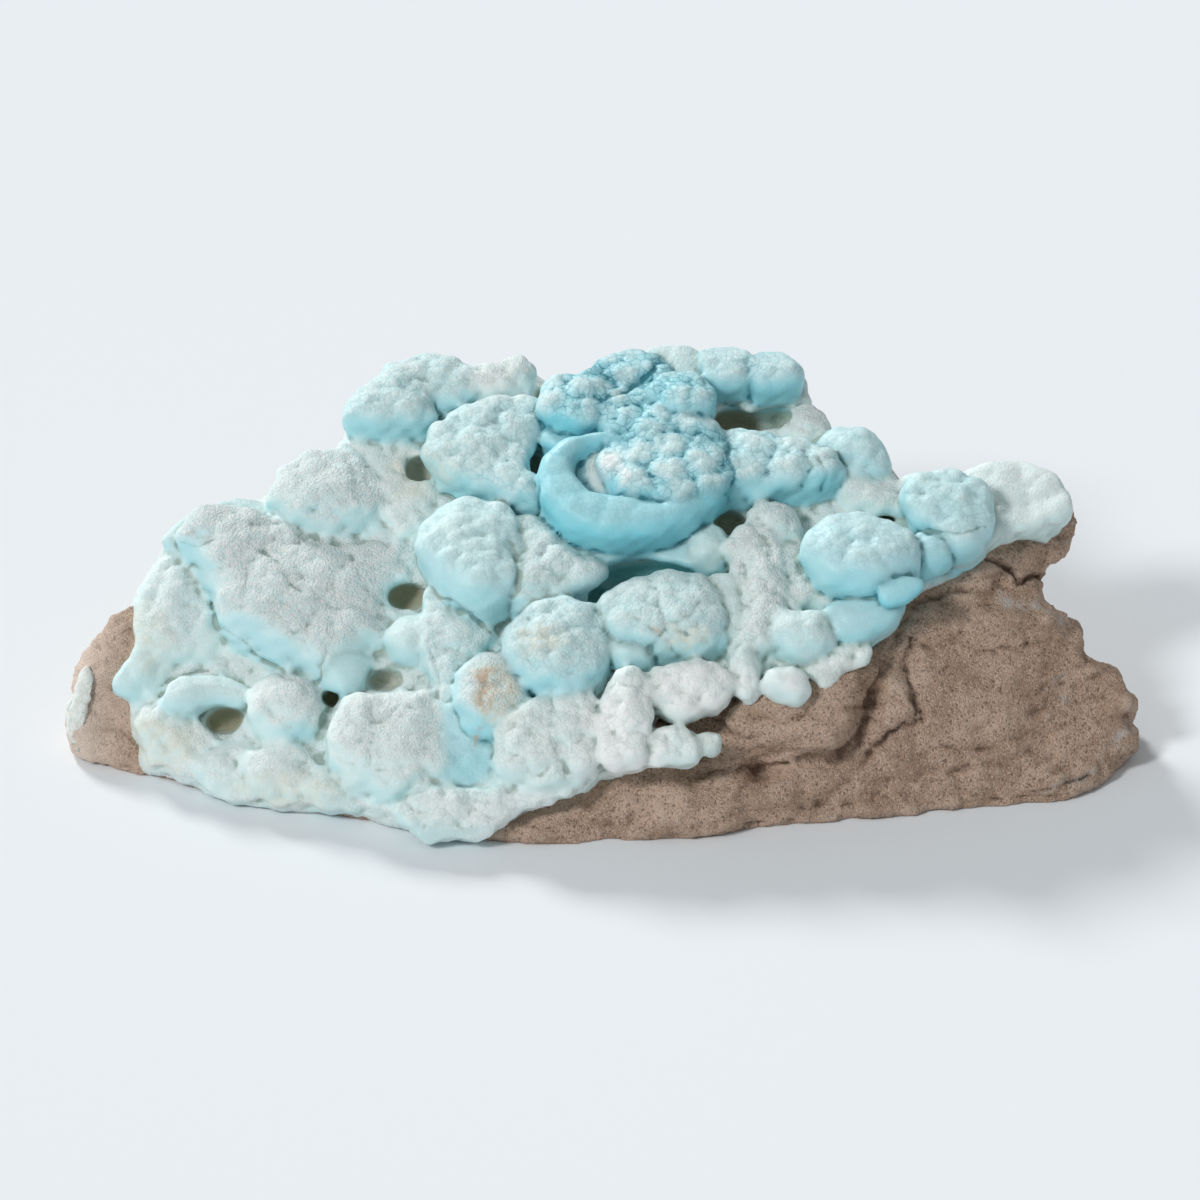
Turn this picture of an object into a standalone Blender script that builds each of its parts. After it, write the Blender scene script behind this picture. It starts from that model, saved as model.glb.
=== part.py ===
"""Blue aragonite on its matrix stone: a brown sandy stone, the lobed crust that grew over it, and a thin film on its tip.

The specimen lies on its flat underside, +Z up, with its long side along X and its best face towards -Y. Its forms are
laid out on a leaning plane, the one that a viewer sees square on from VIEW_RISE above the horizon. Places on that plane
are pixels of a 1200 pixel view, PIXEL metres each. Every length, thickness and height is a real size in metres.
"""

import math

import bmesh
import bpy
import numpy as np
from mathutils import Vector, noise
from mathutils.bvhtree import BVHTree

MM = 0.001

LENGTH = 162 * MM  # tip to tip
PIXELS_LONG = 1078  # the same length in the view
PIXEL = LENGTH / PIXELS_LONG
VIEW_RISE = math.radians(30)
MIDDLE_PX = 601  # the pixel column of the specimen's middle
GROUND_PX = 850  # the pixel row of its nearest point on the ground
DEPTH_TO_MIDDLE = 40.5 * MM  # from the nearest point on the ground to the middle of the footprint

CRUST_THICKNESS = 5.5 * MM  # the even layer that the lobes stand on
CRUST_BURIED = 5.0 * MM  # how far the layer reaches into the stone before it is trimmed
STONE_TOE = 3 * MM  # the height of the stone's hidden front edge under the crust
CRUST_OVERLAP = 2.2 * MM  # how far the layer's edge lies on the stone's own face
EDGE_RADIUS = 4.5 * MM  # the roundness of the layer's edge
GAP = 0.5 * MM  # left between the crust and the stone
EDGE_GAP = 0.15 * MM  # left at the stone's sharp edges

CRUST_VOXEL = 0.8 * MM
STONE_VOXEL = 1.2 * MM
CRUST_TRIANGLES = 5200
STONE_TRIANGLES = 2300
SHELL_TRIANGLES = 2400

AROUND = 40  # points around a lobe's outline
RIM_ANGLES = (-60, -25, 10, 45, 90)  # degrees round a lobe's rolled rim
FACE_SHARES = (0.66, 0.33)  # rings on a lobe's face, as shares of the way from its middle

# Heights in mm above the ground of the layer that the lobes stand on, at pixels of the view.
SPOT_HEIGHTS = {
    (140, 765): 1.5, (220, 795): 1.5, (300, 812): 1.5, (400, 828): 1.5, (470, 840): 1.5, (560, 800): 6,
    (640, 770): 9, (130, 612): 18, (160, 545): 24, (240, 503): 29, (340, 450): 35, (430, 365): 43,
    (530, 370): 43.5, (690, 352): 45, (790, 365): 44, (820, 420): 40, (890, 475): 36.5, (1000, 468): 36,
    (1070, 512): 32, (150, 680): 10, (300, 650): 17, (300, 740): 8, (450, 700): 14, (480, 560): 27,
    (620, 500): 33, (560, 650): 20, (680, 650): 21, (690, 720): 15, (800, 600): 27, (860, 640): 24,
    (950, 560): 30, (990, 540): 31, (440, 450): 36, (700, 450): 38,
}

CRUST_OUTLINE = [
    (130, 612), (147, 575), (163, 545), (188, 520), (208, 507), (240, 504), (264, 500), (278, 482), (294, 463),
    (315, 455), (340, 450), (353, 408), (374, 382), (402, 369), (435, 364), (468, 376), (500, 371), (522, 366),
    (545, 385), (575, 384), (602, 372), (640, 357), (695, 354), (745, 361), (785, 365), (800, 384), (808, 408),
    (826, 419), (835, 440), (858, 433), (878, 443), (889, 470), (902, 485), (940, 481), (955, 477), (978, 467), (1008, 461), (1040, 470), (1064, 485), (1080, 516),
    (1056, 532), (1030, 538), (1006, 545), (986, 549), (970, 572), (935, 588), (905, 602), (890, 625), (866, 646), (845, 660), (822, 676), (800, 690),
    (780, 690), (757, 694), (735, 698), (712, 710), (690, 716), (660, 712), (650, 735), (650, 760), (620, 775),
    (590, 782), (560, 797), (520, 814), (498, 830), (470, 841), (440, 841), (400, 829), (370, 818), (330, 813),
    (290, 814), (250, 811), (220, 800), (192, 791), (165, 780), (142, 770), (130, 750), (123, 730), (116, 705),
    (114, 690), (125, 668), (136, 650), (131, 628),
]

# Lobes of the crust. outline is its rim in pixels, rim the radius of its rolled edge, lift how far its middle plane
# stands above the layer, lean how far its face turns up from the viewer, crown how far its face swells (or sinks).
LOBES = {
    "summit_pillow": dict(
        outline=[(640, 362), (655, 352), (680, 349), (699, 354), (708, 368), (705, 388), (690, 398), (662, 396), (645, 380)],
        rim=2.6, lift=2.5, lean=45, crown=0.6),
    "summit_bar": dict(
        outline=[(697, 352), (725, 353), (755, 358), (780, 359), (796, 368), (803, 382), (797, 398), (770, 404), (735, 405),
                 (710, 400), (700, 380)],
        rim=3.2, lift=3.5, lean=40, crown=0.3),
    "summit_stub": dict(
        outline=[(782, 372), (800, 376), (808, 390), (812, 404), (800, 410), (785, 402)],
        rim=1.6, lift=0.5, lean=25, crown=0.2),
    "twin_west": dict(
        outline=[(540, 416), (544, 399), (556, 386), (578, 380), (600, 373), (616, 388), (618, 415), (612, 432), (592, 442),
                 (568, 444), (549, 435)],
        rim=3.4, lift=5.0, lean=42, crown=0.9),
    "twin_north": dict(
        outline=[(588, 380), (606, 366), (632, 357), (655, 359), (672, 374), (674, 396), (655, 408), (628, 410), (600, 402)],
        rim=2.8, lift=4.2, lean=45, crown=0.8),
    "twin_east": dict(
        outline=[(646, 396), (662, 383), (685, 380), (703, 388), (713, 403), (714, 420), (700, 432), (680, 432), (662, 424),
                 (650, 412)],
        rim=3.4, lift=6.4, lean=42, crown=0.8),
    "twin_waist": dict(
        outline=[(598, 408), (625, 392), (660, 400), (684, 425), (686, 452), (660, 470), (625, 462), (603, 440)],
        rim=3.0, lift=5.4, lean=42, crown=0.6),
    "twin_foot": dict(
        outline=[(548, 432), (575, 438), (604, 436), (640, 432), (650, 452), (620, 468), (580, 474), (552, 470), (542, 450)],
        rim=2.4, lift=4.8, lean=38, crown=0.2),
    "knuckle": dict(
        outline=[(672, 432), (682, 421), (700, 421), (714, 432), (722, 448), (716, 462), (698, 462), (682, 454)],
        rim=2.6, lift=7.4, lean=42, crown=0.7),
    "curl": dict(
        outline=[(539, 492), (541, 472), (551, 457), (570, 447), (600, 442), (640, 438), (680, 436), (708, 442), (724, 456),
                 (730, 478), (728, 500), (712, 518), (692, 533), (668, 545), (636, 551), (600, 552), (570, 544), (551, 528),
                 (541, 510)],
        rim=4.2, lift=6.2, lean=38, crown=-1.0),
    "curl_heap": dict(
        outline=[(612, 470), (640, 452), (680, 450), (712, 462), (722, 485), (706, 505), (672, 512), (640, 506), (618, 492)],
        rim=2.8, lift=7.6, lean=42, crown=0.6),
    "arm": dict(
        outline=[(706, 448), (735, 439), (765, 438), (793, 447), (820, 455), (837, 464), (842, 480), (834, 492), (812, 498),
                 (780, 502), (745, 505), (715, 508), (700, 480)],
        rim=3.2, lift=4.6, lean=42, crown=0.8),
    "ear": dict(
        outline=[(815, 452), (824, 438), (840, 430), (860, 428), (877, 437), (886, 453), (890, 474), (884, 490), (862, 494),
                 (838, 484), (822, 470)],
        rim=3.4, lift=2.6, lean=38, crown=0.9),
    "east_saddle": dict(
        outline=[(838, 480), (870, 474), (897, 486), (925, 482), (930, 512), (905, 528), (870, 524), (842, 512)],
        rim=3.0, lift=0.6, lean=30, crown=0.5),
    "east_end": dict(
        outline=[(905, 490), (925, 480), (950, 478), (972, 482), (987, 495), (993, 515), (990, 540), (976, 562), (955, 568),
                 (932, 552), (912, 530), (903, 510)],
        rim=4.0, lift=3.2, lean=32, crown=0.8),
    "east_middle": dict(
        outline=[(906, 545), (918, 535), (936, 535), (950, 548), (950, 566), (936, 578), (916, 580), (904, 566)],
        rim=2.8, lift=4.0, lean=30, crown=0.6),
    "east_disc": dict(
        outline=[(803, 562), (806, 543), (818, 528), (838, 519), (862, 518), (888, 526), (908, 537), (919, 554), (919, 573),
                 (905, 590), (880, 601), (852, 602), (826, 593), (810, 579)],
        rim=4.0, lift=6.4, lean=40, crown=0.5),
    "east_chip": dict(
        outline=[(876, 588), (890, 579), (912, 577), (922, 585), (914, 598), (900, 607), (882, 606)],
        rim=1.6, lift=8.8, lean=15, crown=0.2),
    "east_shelf": dict(
        outline=[(828, 608), (850, 602), (880, 602), (903, 600), (900, 620), (884, 636), (860, 646), (838, 646), (826, 630)],
        rim=3.0, lift=3.0, lean=25, crown=0.6),
    "east_pebble": dict(
        outline=[(769, 642), (774, 622), (792, 612), (813, 613), (828, 626), (834, 644), (826, 660), (806, 666), (784, 661)],
        rim=3.2, lift=4.2, lean=28, crown=0.7),
    "white_nub": dict(
        outline=[(762, 684), (772, 669), (792, 668), (806, 678), (809, 694), (797, 707), (779, 704), (766, 695)],
        rim=3.0, lift=2.6, lean=12, crown=0.5),
    "east_fringe": dict(
        outline=[(806, 660), (832, 648), (866, 648), (865, 664), (846, 668), (838, 680), (824, 690), (812, 680)],
        rim=1.5, lift=1.0, lean=12, crown=0.1),
    "pale_mound": dict(
        outline=[(712, 560), (728, 540), (750, 515), (772, 508), (792, 520), (800, 548), (792, 580), (778, 610), (768, 645),
                 (742, 662), (720, 645), (708, 605)],
        rim=3.2, lift=2.8, lean=30, crown=0.9),
    "pale_column": dict(
        outline=[(780, 530), (808, 520), (812, 560), (830, 598), (834, 625), (806, 628), (782, 612), (774, 570)],
        rim=2.4, lift=1.8, lean=30, crown=0.5),
    "fan": dict(
        outline=[(600, 614), (612, 598), (634, 584), (662, 577), (690, 577), (709, 587), (722, 606), (727, 632), (722, 652),
                 (700, 663), (668, 664), (648, 660), (624, 655), (607, 640)],
        rim=3.6, lift=4.4, lean=34, crown=1.2),
    "fan_toe": dict(
        outline=[(608, 650), (620, 640), (640, 640), (652, 650), (652, 664), (638, 672), (618, 672)],
        rim=2.2, lift=5.0, lean=25, crown=0.4),
    "fan_side": dict(
        outline=[(706, 586), (718, 577), (733, 584), (741, 605), (741, 628), (732, 642), (722, 634), (716, 608)],
        rim=1.9, lift=4.0, lean=32, crown=0.3),
    "apron": dict(
        outline=[(560, 548), (600, 552), (650, 552), (690, 536), (715, 527), (730, 548), (722, 574), (700, 574), (668, 566),
                 (640, 560), (616, 564), (600, 574), (580, 566)],
        rim=1.2, lift=3.6, lean=40, crown=0.1),
    "disc": dict(
        outline=[(418, 556), (422, 537), (434, 520), (453, 508), (478, 505), (503, 510), (518, 525), (526, 548), (526, 580),
                 (516, 606), (495, 620), (468, 616), (446, 601), (428, 580)],
        rim=4.4, lift=5.6, lean=40, crown=0.4),
    "disc_boss": dict(
        outline=[(436, 556), (446, 536), (466, 524), (492, 526), (512, 538), (520, 556), (512, 576), (490, 588), (462, 586),
                 (444, 574)],
        rim=2.4, lift=7.4, lean=44, crown=0.5),
    "disc_shoulder": dict(
        outline=[(500, 530), (525, 522), (550, 532), (576, 556), (598, 566), (607, 580), (598, 594), (575, 604), (545, 612),
                 (515, 616), (500, 590)],
        rim=3.0, lift=3.8, lean=38, crown=0.7),
    "middle_north": dict(
        outline=[(424, 458), (428, 440), (442, 424), (462, 410), (490, 401), (520, 400), (543, 408), (550, 428), (536, 450),
                 (528, 475), (545, 492), (547, 515), (530, 519), (500, 510), (470, 498), (446, 486), (430, 474)],
        rim=3.0, lift=4.2, lean=38, crown=0.8),
    "north_west": dict(
        outline=[(343, 428), (350, 406), (361, 390), (378, 377), (398, 370), (418, 384), (428, 404), (436, 424), (424, 438),
                 (400, 443), (372, 442), (350, 438)],
        rim=3.6, lift=4.0, lean=40, crown=0.7),
    "north": dict(
        outline=[(384, 374), (404, 363), (432, 359), (456, 364), (471, 376), (478, 394), (468, 412), (440, 416), (412, 404)],
        rim=2.8, lift=2.2, lean=42, crown=0.8),
    "north_pale": dict(
        outline=[(462, 376), (488, 371), (514, 362), (526, 366), (534, 380), (528, 395), (506, 404), (478, 404), (464, 392)],
        rim=2.4, lift=1.4, lean=40, crown=0.5),
    "west_mound": dict(
        outline=[(266, 505), (276, 480), (293, 462), (318, 454), (345, 456), (368, 470), (384, 495), (386, 522), (366, 542),
                 (325, 546), (288, 536)],
        rim=3.8, lift=2.2, lean=32, crown=1.3),
    "west_table": dict(
        outline=[(176, 545), (184, 522), (210, 508), (246, 512), (290, 526), (340, 542), (390, 546), (420, 556), (414, 590),
                 (392, 620), (386, 652), (366, 668), (330, 690), (300, 680), (262, 660), (222, 634), (212, 604), (194, 570)],
        rim=4.0, lift=2.4, lean=30, crown=0.8),
    "west_table_toe": dict(
        outline=[(318, 672), (324, 654), (342, 648), (362, 654), (371, 670), (366, 690), (344, 700), (326, 692)],
        rim=2.4, lift=4.4, lean=30, crown=0.5),
    "west_table_rim": dict(
        outline=[(268, 652), (280, 640), (302, 642), (322, 654), (320, 674), (300, 678), (278, 668)],
        rim=2.0, lift=4.0, lean=30, crown=0.5),
    "west_brow": dict(
        outline=[(160, 548), (172, 530), (192, 515), (222, 504), (256, 502), (276, 512), (262, 528), (226, 530), (196, 545),
                 (178, 562)],
        rim=2.2, lift=1.4, lean=30, crown=0.4),
    "west_flank": dict(
        outline=[(136, 612), (152, 572), (176, 556), (204, 584), (214, 620), (208, 660), (170, 672), (138, 655)],
        rim=3.0, lift=1.0, lean=22, crown=0.8),
    "west_bump": dict(
        outline=[(186, 650), (192, 632), (210, 626), (226, 640), (224, 660), (206, 668)],
        rim=2.2, lift=2.6, lean=22, crown=0.4),
    "west_cheek": dict(
        outline=[(113, 690), (124, 664), (140, 652), (158, 662), (166, 682), (154, 700), (132, 704)],
        rim=2.4, lift=1.6, lean=15, crown=0.6),
    "west_lip": dict(
        outline=[(162, 702), (172, 684), (192, 676), (216, 679), (238, 685), (248, 698), (241, 712), (216, 709), (190, 716),
                 (170, 713)],
        rim=2.2, lift=3.6, lean=28, crown=0.5),
    "west_knob": dict(
        outline=[(250, 712), (256, 688), (276, 677), (302, 681), (322, 698), (327, 722), (318, 744), (294, 750), (266, 742)],
        rim=3.4, lift=2.4, lean=25, crown=0.9),
    "river_head": dict(
        outline=[(386, 644), (392, 626), (408, 617), (426, 621), (434, 636), (430, 656), (414, 668), (396, 664)],
        rim=2.6, lift=3.6, lean=30, crown=0.6),
    "river": dict(
        outline=[(424, 600), (442, 590), (470, 614), (500, 640), (482, 664), (462, 688), (462, 730), (480, 770), (462, 786),
                 (444, 750), (432, 700), (426, 650)],
        rim=2.4, lift=2.0, lean=22, crown=0.3),
    "front_east": dict(
        outline=[(506, 640), (518, 622), (538, 609), (562, 603), (586, 607), (602, 620), (610, 642), (608, 668), (600, 690),
                 (578, 704), (548, 704), (522, 690), (506, 664)],
        rim=4.2, lift=5.2, lean=30, crown=1.0),
    "front_west": dict(
        outline=[(456, 702), (458, 680), (470, 662), (492, 652), (514, 654), (532, 672), (536, 698), (524, 724), (500, 740),
                 (476, 738), (462, 722)],
        rim=3.2, lift=4.2, lean=24, crown=0.8),
    "front_root": dict(
        outline=[(498, 736), (520, 712), (556, 702), (592, 700), (602, 735), (592, 776), (560, 790), (524, 788), (500, 772)],
        rim=2.6, lift=3.4, lean=14, crown=0.7),
    "white_root": dict(
        outline=[(603, 702), (612, 682), (630, 672), (647, 682), (652, 706), (650, 738), (644, 764), (622, 774), (604, 762),
                 (598, 730)],
        rim=2.8, lift=3.8, lean=12, crown=0.6),
    "white_brow": dict(
        outline=[(648, 694), (658, 672), (688, 665), (716, 668), (732, 682), (728, 700), (710, 714), (682, 722), (658, 714)],
        rim=2.6, lift=3.0, lean=14, crown=0.6),
    "white_finger": dict(
        outline=[(728, 664), (740, 648), (754, 660), (758, 682), (756, 698), (744, 704), (732, 690)],
        rim=2.0, lift=2.8, lean=14, crown=0.3),
    "white_knobs": dict(
        outline=[(646, 750), (654, 731), (676, 728), (694, 738), (700, 752), (690, 767), (668, 766), (650, 764)],
        rim=2.0, lift=1.8, lean=10, crown=0.4),
    "white_bead": dict(
        outline=[(694, 744), (704, 733), (718, 736), (719, 750), (708, 757)],
        rim=1.4, lift=1.4, lean=10, crown=0.2),
    "west_toe": dict(
        outline=[(136, 722), (150, 706), (176, 710), (200, 728), (206, 752), (190, 770), (164, 764), (144, 748)],
        rim=2.2, lift=0.8, lean=12, crown=0.7),
    "south_west": dict(
        outline=[(198, 774), (214, 752), (238, 748), (256, 766), (258, 790), (240, 803), (214, 794)],
        rim=2.2, lift=0.8, lean=12, crown=0.6),
    "south_toe": dict(
        outline=[(304, 798), (316, 776), (340, 776), (360, 794), (356, 811), (326, 810)],
        rim=2.0, lift=1.0, lean=12, crown=0.5),
    "wall_west": dict(
        outline=[(344, 452), (372, 444), (404, 446), (428, 470), (434, 500), (420, 540), (396, 548), (384, 520), (376, 485)],
        rim=2.6, lift=0.8, lean=34, crown=0.5),
    "south_mound": dict(
        outline=[(330, 742), (338, 712), (358, 696), (392, 698), (424, 690), (446, 712), (456, 744), (456, 780), (430, 800),
                 (392, 806), (354, 792), (336, 770)],
        rim=3.6, lift=2.2, lean=20, crown=1.1),
    "south_hump": dict(
        outline=[(244, 776), (256, 754), (284, 746), (308, 756), (316, 778), (300, 800), (268, 802)],
        rim=2.4, lift=1.2, lean=15, crown=0.6),
    "south_skirt": dict(
        outline=[(400, 806), (440, 790), (490, 790), (540, 776), (586, 770), (588, 786), (556, 800), (516, 816), (486, 834),
                 (444, 840), (408, 826)],
        rim=1.8, lift=1.2, lean=10, crown=0.3),
}

HOLLOW_ROOF = 2.2 * MM  # how far above the layer's face a hollow still cuts

# Hollows of the crust: middle and half sizes in pixels, and depth in mm below the layer's face.
HOLLOWS = {
    "summit_cave": dict(middle=(736, 425), half=(27, 14), depth=7.0),
    "cave_wall": dict(middle=(778, 421), half=(22, 11), depth=3.5),
    "north_gap": dict(middle=(545, 393), half=(9, 9), depth=3.5),
    "curl_gap": dict(middle=(528, 468), half=(13, 15), depth=5.0),
    "north_west_gap": dict(middle=(424, 478), half=(22, 17), depth=5.0),
    "table_hole": dict(middle=(408, 598), half=(20, 14), depth=5.2),
    "east_pinhole": dict(middle=(885, 520), half=(11, 5), depth=3.5),
    "arm_hole": dict(middle=(730, 526), half=(17, 12), depth=4.5),
    "fan_arch": dict(middle=(650, 580), half=(50, 16), depth=3.0),
    "fan_arch_west": dict(middle=(598, 600), half=(10, 14), depth=3.0),
    "west_hole": dict(middle=(228, 721), half=(19, 15), depth=4.6),
    "toe_hole": dict(middle=(385, 682), half=(20, 13), depth=3.6),
    "knob_crack": dict(middle=(331, 698), half=(7, 8), depth=3.6),
}

# The stone's corners: pixel, and height in mm above the ground.
STONE_FRONT_CORNERS = [
    ((84, 766), 0), ((140, 772), 0), ((222, 796), 0), ((290, 813), 0), ((400, 827), 0), ((515, 850), 0), ((625, 845), 0),
    ((700, 839), 0), ((765, 824), 0), ((835, 806), 0), ((900, 801), 0), ((990, 798), 0), ((1055, 806), 0),
    ((1112, 776), 0), ((1143, 756), 1), ((1145, 742), 4), ((1128, 694), 9), ((1092, 652), 15), ((1068, 620), 20),
    ((1042, 592), 23), ((66, 742), 2), ((63, 714), 6), ((75, 664), 12), ((92, 634), 16), ((126, 610), 17),
    ((905, 700), 13), ((700, 735), 10), ((560, 812), 3), ((910, 622), 24), ((1000, 560), 28), ((970, 520), 31),
]

# The same at the back, where the view doesn't reach: pixel column, depth behind the nearest point, height, in mm.
STONE_BACK_CORNERS = [
    (72, 32, 0), (140, 46, 0), (245, 64, 0), (345, 73, 0), (445, 80, 0), (560, 81, 0), (690, 81, 0), (800, 77, 0),
    (895, 68, 0), (1000, 62, 0), (1078, 52, 0), (1128, 39, 0),
    (84, 33, 11), (142, 43, 16), (180, 50, 20), (250, 60, 24), (345, 68, 29), (445, 76, 35), (560, 77, 37), (690, 77, 38),
    (785, 73, 34), (885, 61, 24), (1000, 55, 24), (1040, 48, 20),
]

# The slab that juts out at the upper east corner, given in the same two ways.
HORN_FRONT_CORNERS = [
    ((962, 488), 31), ((1003, 480), 32), ((1050, 488), 31), ((1078, 512), 30), ((1084, 533), 28), ((1071, 556), 25.5),
    ((1046, 575), 23.5), ((1000, 578), 26), ((965, 560), 29),
]
HORN_BACK_CORNERS = [(960, 57, 24), (1000, 56, 22), (1040, 50, 19), (1066, 48, 24)]

# Lumps on the broken east face: outline in pixels, how far they stand out in mm, and how much they narrow outwards.
STONE_LUMPS = {
    "belly": dict(
        outline=[(716, 716), (742, 700), (790, 690), (840, 662), (868, 655), (874, 686), (858, 732), (832, 752), (790, 760),
                 (748, 754), (722, 740)],
        proud=4.2, narrowing=0.80),
    "lip": dict(
        outline=[(876, 700), (896, 664), (916, 690), (924, 716), (902, 730), (880, 744), (858, 752), (866, 722)],
        proud=2.4, narrowing=0.72),
    "foot_bump": dict(
        outline=[(764, 776), (788, 762), (806, 782), (794, 808), (768, 804)], proud=1.8, narrowing=0.6),
    "west_foot": dict(
        outline=[(640, 806), (676, 776), (716, 768), (742, 780), (738, 822), (690, 836), (650, 834)],
        proud=2.0, narrowing=0.75),
    "east_brow": dict(
        outline=[(916, 606), (960, 596), (1010, 598), (1050, 610), (1066, 628), (1020, 640), (950, 632), (915, 640)],
        proud=1.6, narrowing=0.75),
    "east_toe": dict(
        outline=[(1020, 784), (1056, 770), (1100, 762), (1128, 750), (1122, 772), (1090, 786), (1056, 804), (1026, 800)],
        proud=1.5, narrowing=0.8),
}

# Bites out of the same face, given in the same way with how deep they go.
STONE_BITES = {
    "under_belly": dict(
        outline=[(742, 758), (790, 764), (836, 756), (862, 742), (868, 756), (850, 782), (800, 778), (756, 784), (744, 776)],
        deep=2.6, narrowing=0.7),
    "belly_corner": dict(
        outline=[(740, 752), (762, 752), (764, 792), (744, 798)], deep=3.4, narrowing=0.6),
    "fold": dict(
        outline=[(896, 640), (906, 644), (888, 684), (870, 716), (860, 742), (850, 736), (862, 700), (880, 664)],
        deep=3.0, narrowing=0.6),
    "neck": dict(
        outline=[(978, 572), (1012, 560), (1052, 572), (1064, 600), (1020, 598), (984, 596)], deep=1.8, narrowing=0.85),
}

# Knobs at the stone's outer edge: pixel, height in mm, half sizes across, away and up in mm.
STONE_KNOBS = {
    "east_knob": dict(at=(1117, 703), height=9.5, half=(2.6, 3.2, 2.2)),
    "east_shoulder": dict(at=(1084, 655), height=15, half=(2.2, 4.0, 2.4)),
}

STONE_ROUGHNESS = [(9 * MM, 1.3 * MM), (3.6 * MM, 0.55 * MM)]  # size of the unevenness and its height
CRUST_ROUGHNESS = [(4.5 * MM, 0.45 * MM)]

WEST_FILM = dict(
    outline=[(68, 738), (64, 716), (72, 694), (82, 674), (92, 664), (99, 690), (92, 712), (96, 735), (112, 748), (92, 757)],
    rim=1.2, lift=0.0, lean=0, crown=0.2)
WEST_FILM_PLACE = ((84, 711), 7.0)  # its middle: pixel and height in mm

STONE_COLOUR = (0.30, 0.215, 0.165, 1)
CRUST_COLOUR = (0.52, 0.80, 0.83, 1)
FILM_COLOUR = (0.76, 0.85, 0.82, 1)

RIGHT = Vector((1, 0, 0))
UPWARD = Vector((0, math.sin(VIEW_RISE), math.cos(VIEW_RISE)))  # up in the view
OUTWARD = Vector((0, -math.cos(VIEW_RISE), math.sin(VIEW_RISE)))  # towards the viewer


def on_plane(px, py):
    """A pixel's place on the leaning plane: across and up, in metres."""
    return (px - MIDDLE_PX) * PIXEL, (GROUND_PX - py) * PIXEL


def in_space(across, up, out):
    """The point that stands out from the leaning plane at a place on it."""
    return RIGHT * across + UPWARD * up + OUTWARD * out - Vector((0, DEPTH_TO_MIDDLE, 0))


def seen_at(px, py, height):
    """The point that shows at a pixel and is this high above the ground."""
    across, up = on_plane(px, py)
    out = (height - up * math.cos(VIEW_RISE)) / math.sin(VIEW_RISE)
    return in_space(across, up, out)


def slope_terms(across, up):
    across, up = np.asarray(across) / LENGTH, np.asarray(up) / LENGTH
    return np.stack([np.ones_like(across), across, up, across * across, across * up, up * up], axis=-1)


def fitted_slope():
    """The smooth slope through the spot heights, as the factors of slope_terms."""
    places = np.array([on_plane(*pixel) for pixel in SPOT_HEIGHTS])
    heights = np.array(list(SPOT_HEIGHTS.values())) * MM
    outs = (heights - places[:, 1] * math.cos(VIEW_RISE)) / math.sin(VIEW_RISE)
    factors, *_ = np.linalg.lstsq(slope_terms(places[:, 0], places[:, 1]), outs, rcond=None)
    return factors


SLOPE = fitted_slope()


def slope_out(across, up):
    """How far the crust's layer stands out from the leaning plane."""
    return float(slope_terms(across, up) @ SLOPE)


def inside(point, outline):
    """Whether a 2D point lies in a closed outline."""
    crossings = 0
    for (x0, y0), (x1, y1) in zip(outline, outline[1:] + outline[:1]):
        if (y0 > point[1]) != (y1 > point[1]) and point[0] < (x1 - x0) * (point[1] - y0) / (y1 - y0) + x0:
            crossings += 1
    return crossings % 2 == 1


def edge_distance(point, outline):
    """How far a 2D point is from a closed outline, in the outline's units."""
    nearest = math.inf
    p = Vector(point)
    for a, b in zip(outline, outline[1:] + outline[:1]):
        a, b = Vector(a), Vector(b)
        share = max(0, min(1, (p - a).dot(b - a) / (b - a).length_squared))
        nearest = min(nearest, (p - a.lerp(b, share)).length)
    return nearest


def edge_drop(point):
    """How much lower the layer's face is at a pixel because its edge is round."""
    left = max(0, EDGE_RADIUS - edge_distance(point, CRUST_OUTLINE) * PIXEL)
    return EDGE_RADIUS - math.sqrt(max(0, EDGE_RADIUS**2 - left**2))


def smooth_outline(outline, count):
    """A closed curve through the outline's points, at even steps of its parameter."""
    points = [Vector(p) for p in outline]
    sides = len(points)
    curve = []
    for step in range(count):
        at = step * sides / count
        i, t = int(at), at % 1
        a, b, c, d = (points[(i + k) % sides] for k in (-1, 0, 1, 2))
        curve.append(0.5 * (2 * b + (c - a) * t + (2 * a - 5 * b + 4 * c - d) * t * t + (3 * b - a - 3 * c + d) * t**3))
    return curve


def lobe_profile(rim, crown, stem):
    """Rings of a lobe from its foot to its face: (how far in from the outline, share of the way out, height)."""
    rings = [(1.3 * rim, 1.0, -stem), (1.0 * rim, 1.0, -0.95 * rim)]
    for degrees in RIM_ANGLES:
        angle = math.radians(degrees)
        rings.append((rim * (1 - math.cos(angle)), 1.0, rim * math.sin(angle)))
    for share in FACE_SHARES:
        rings.append((rim, share, rim + crown * (1 - share * share)))
    return rings


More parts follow.
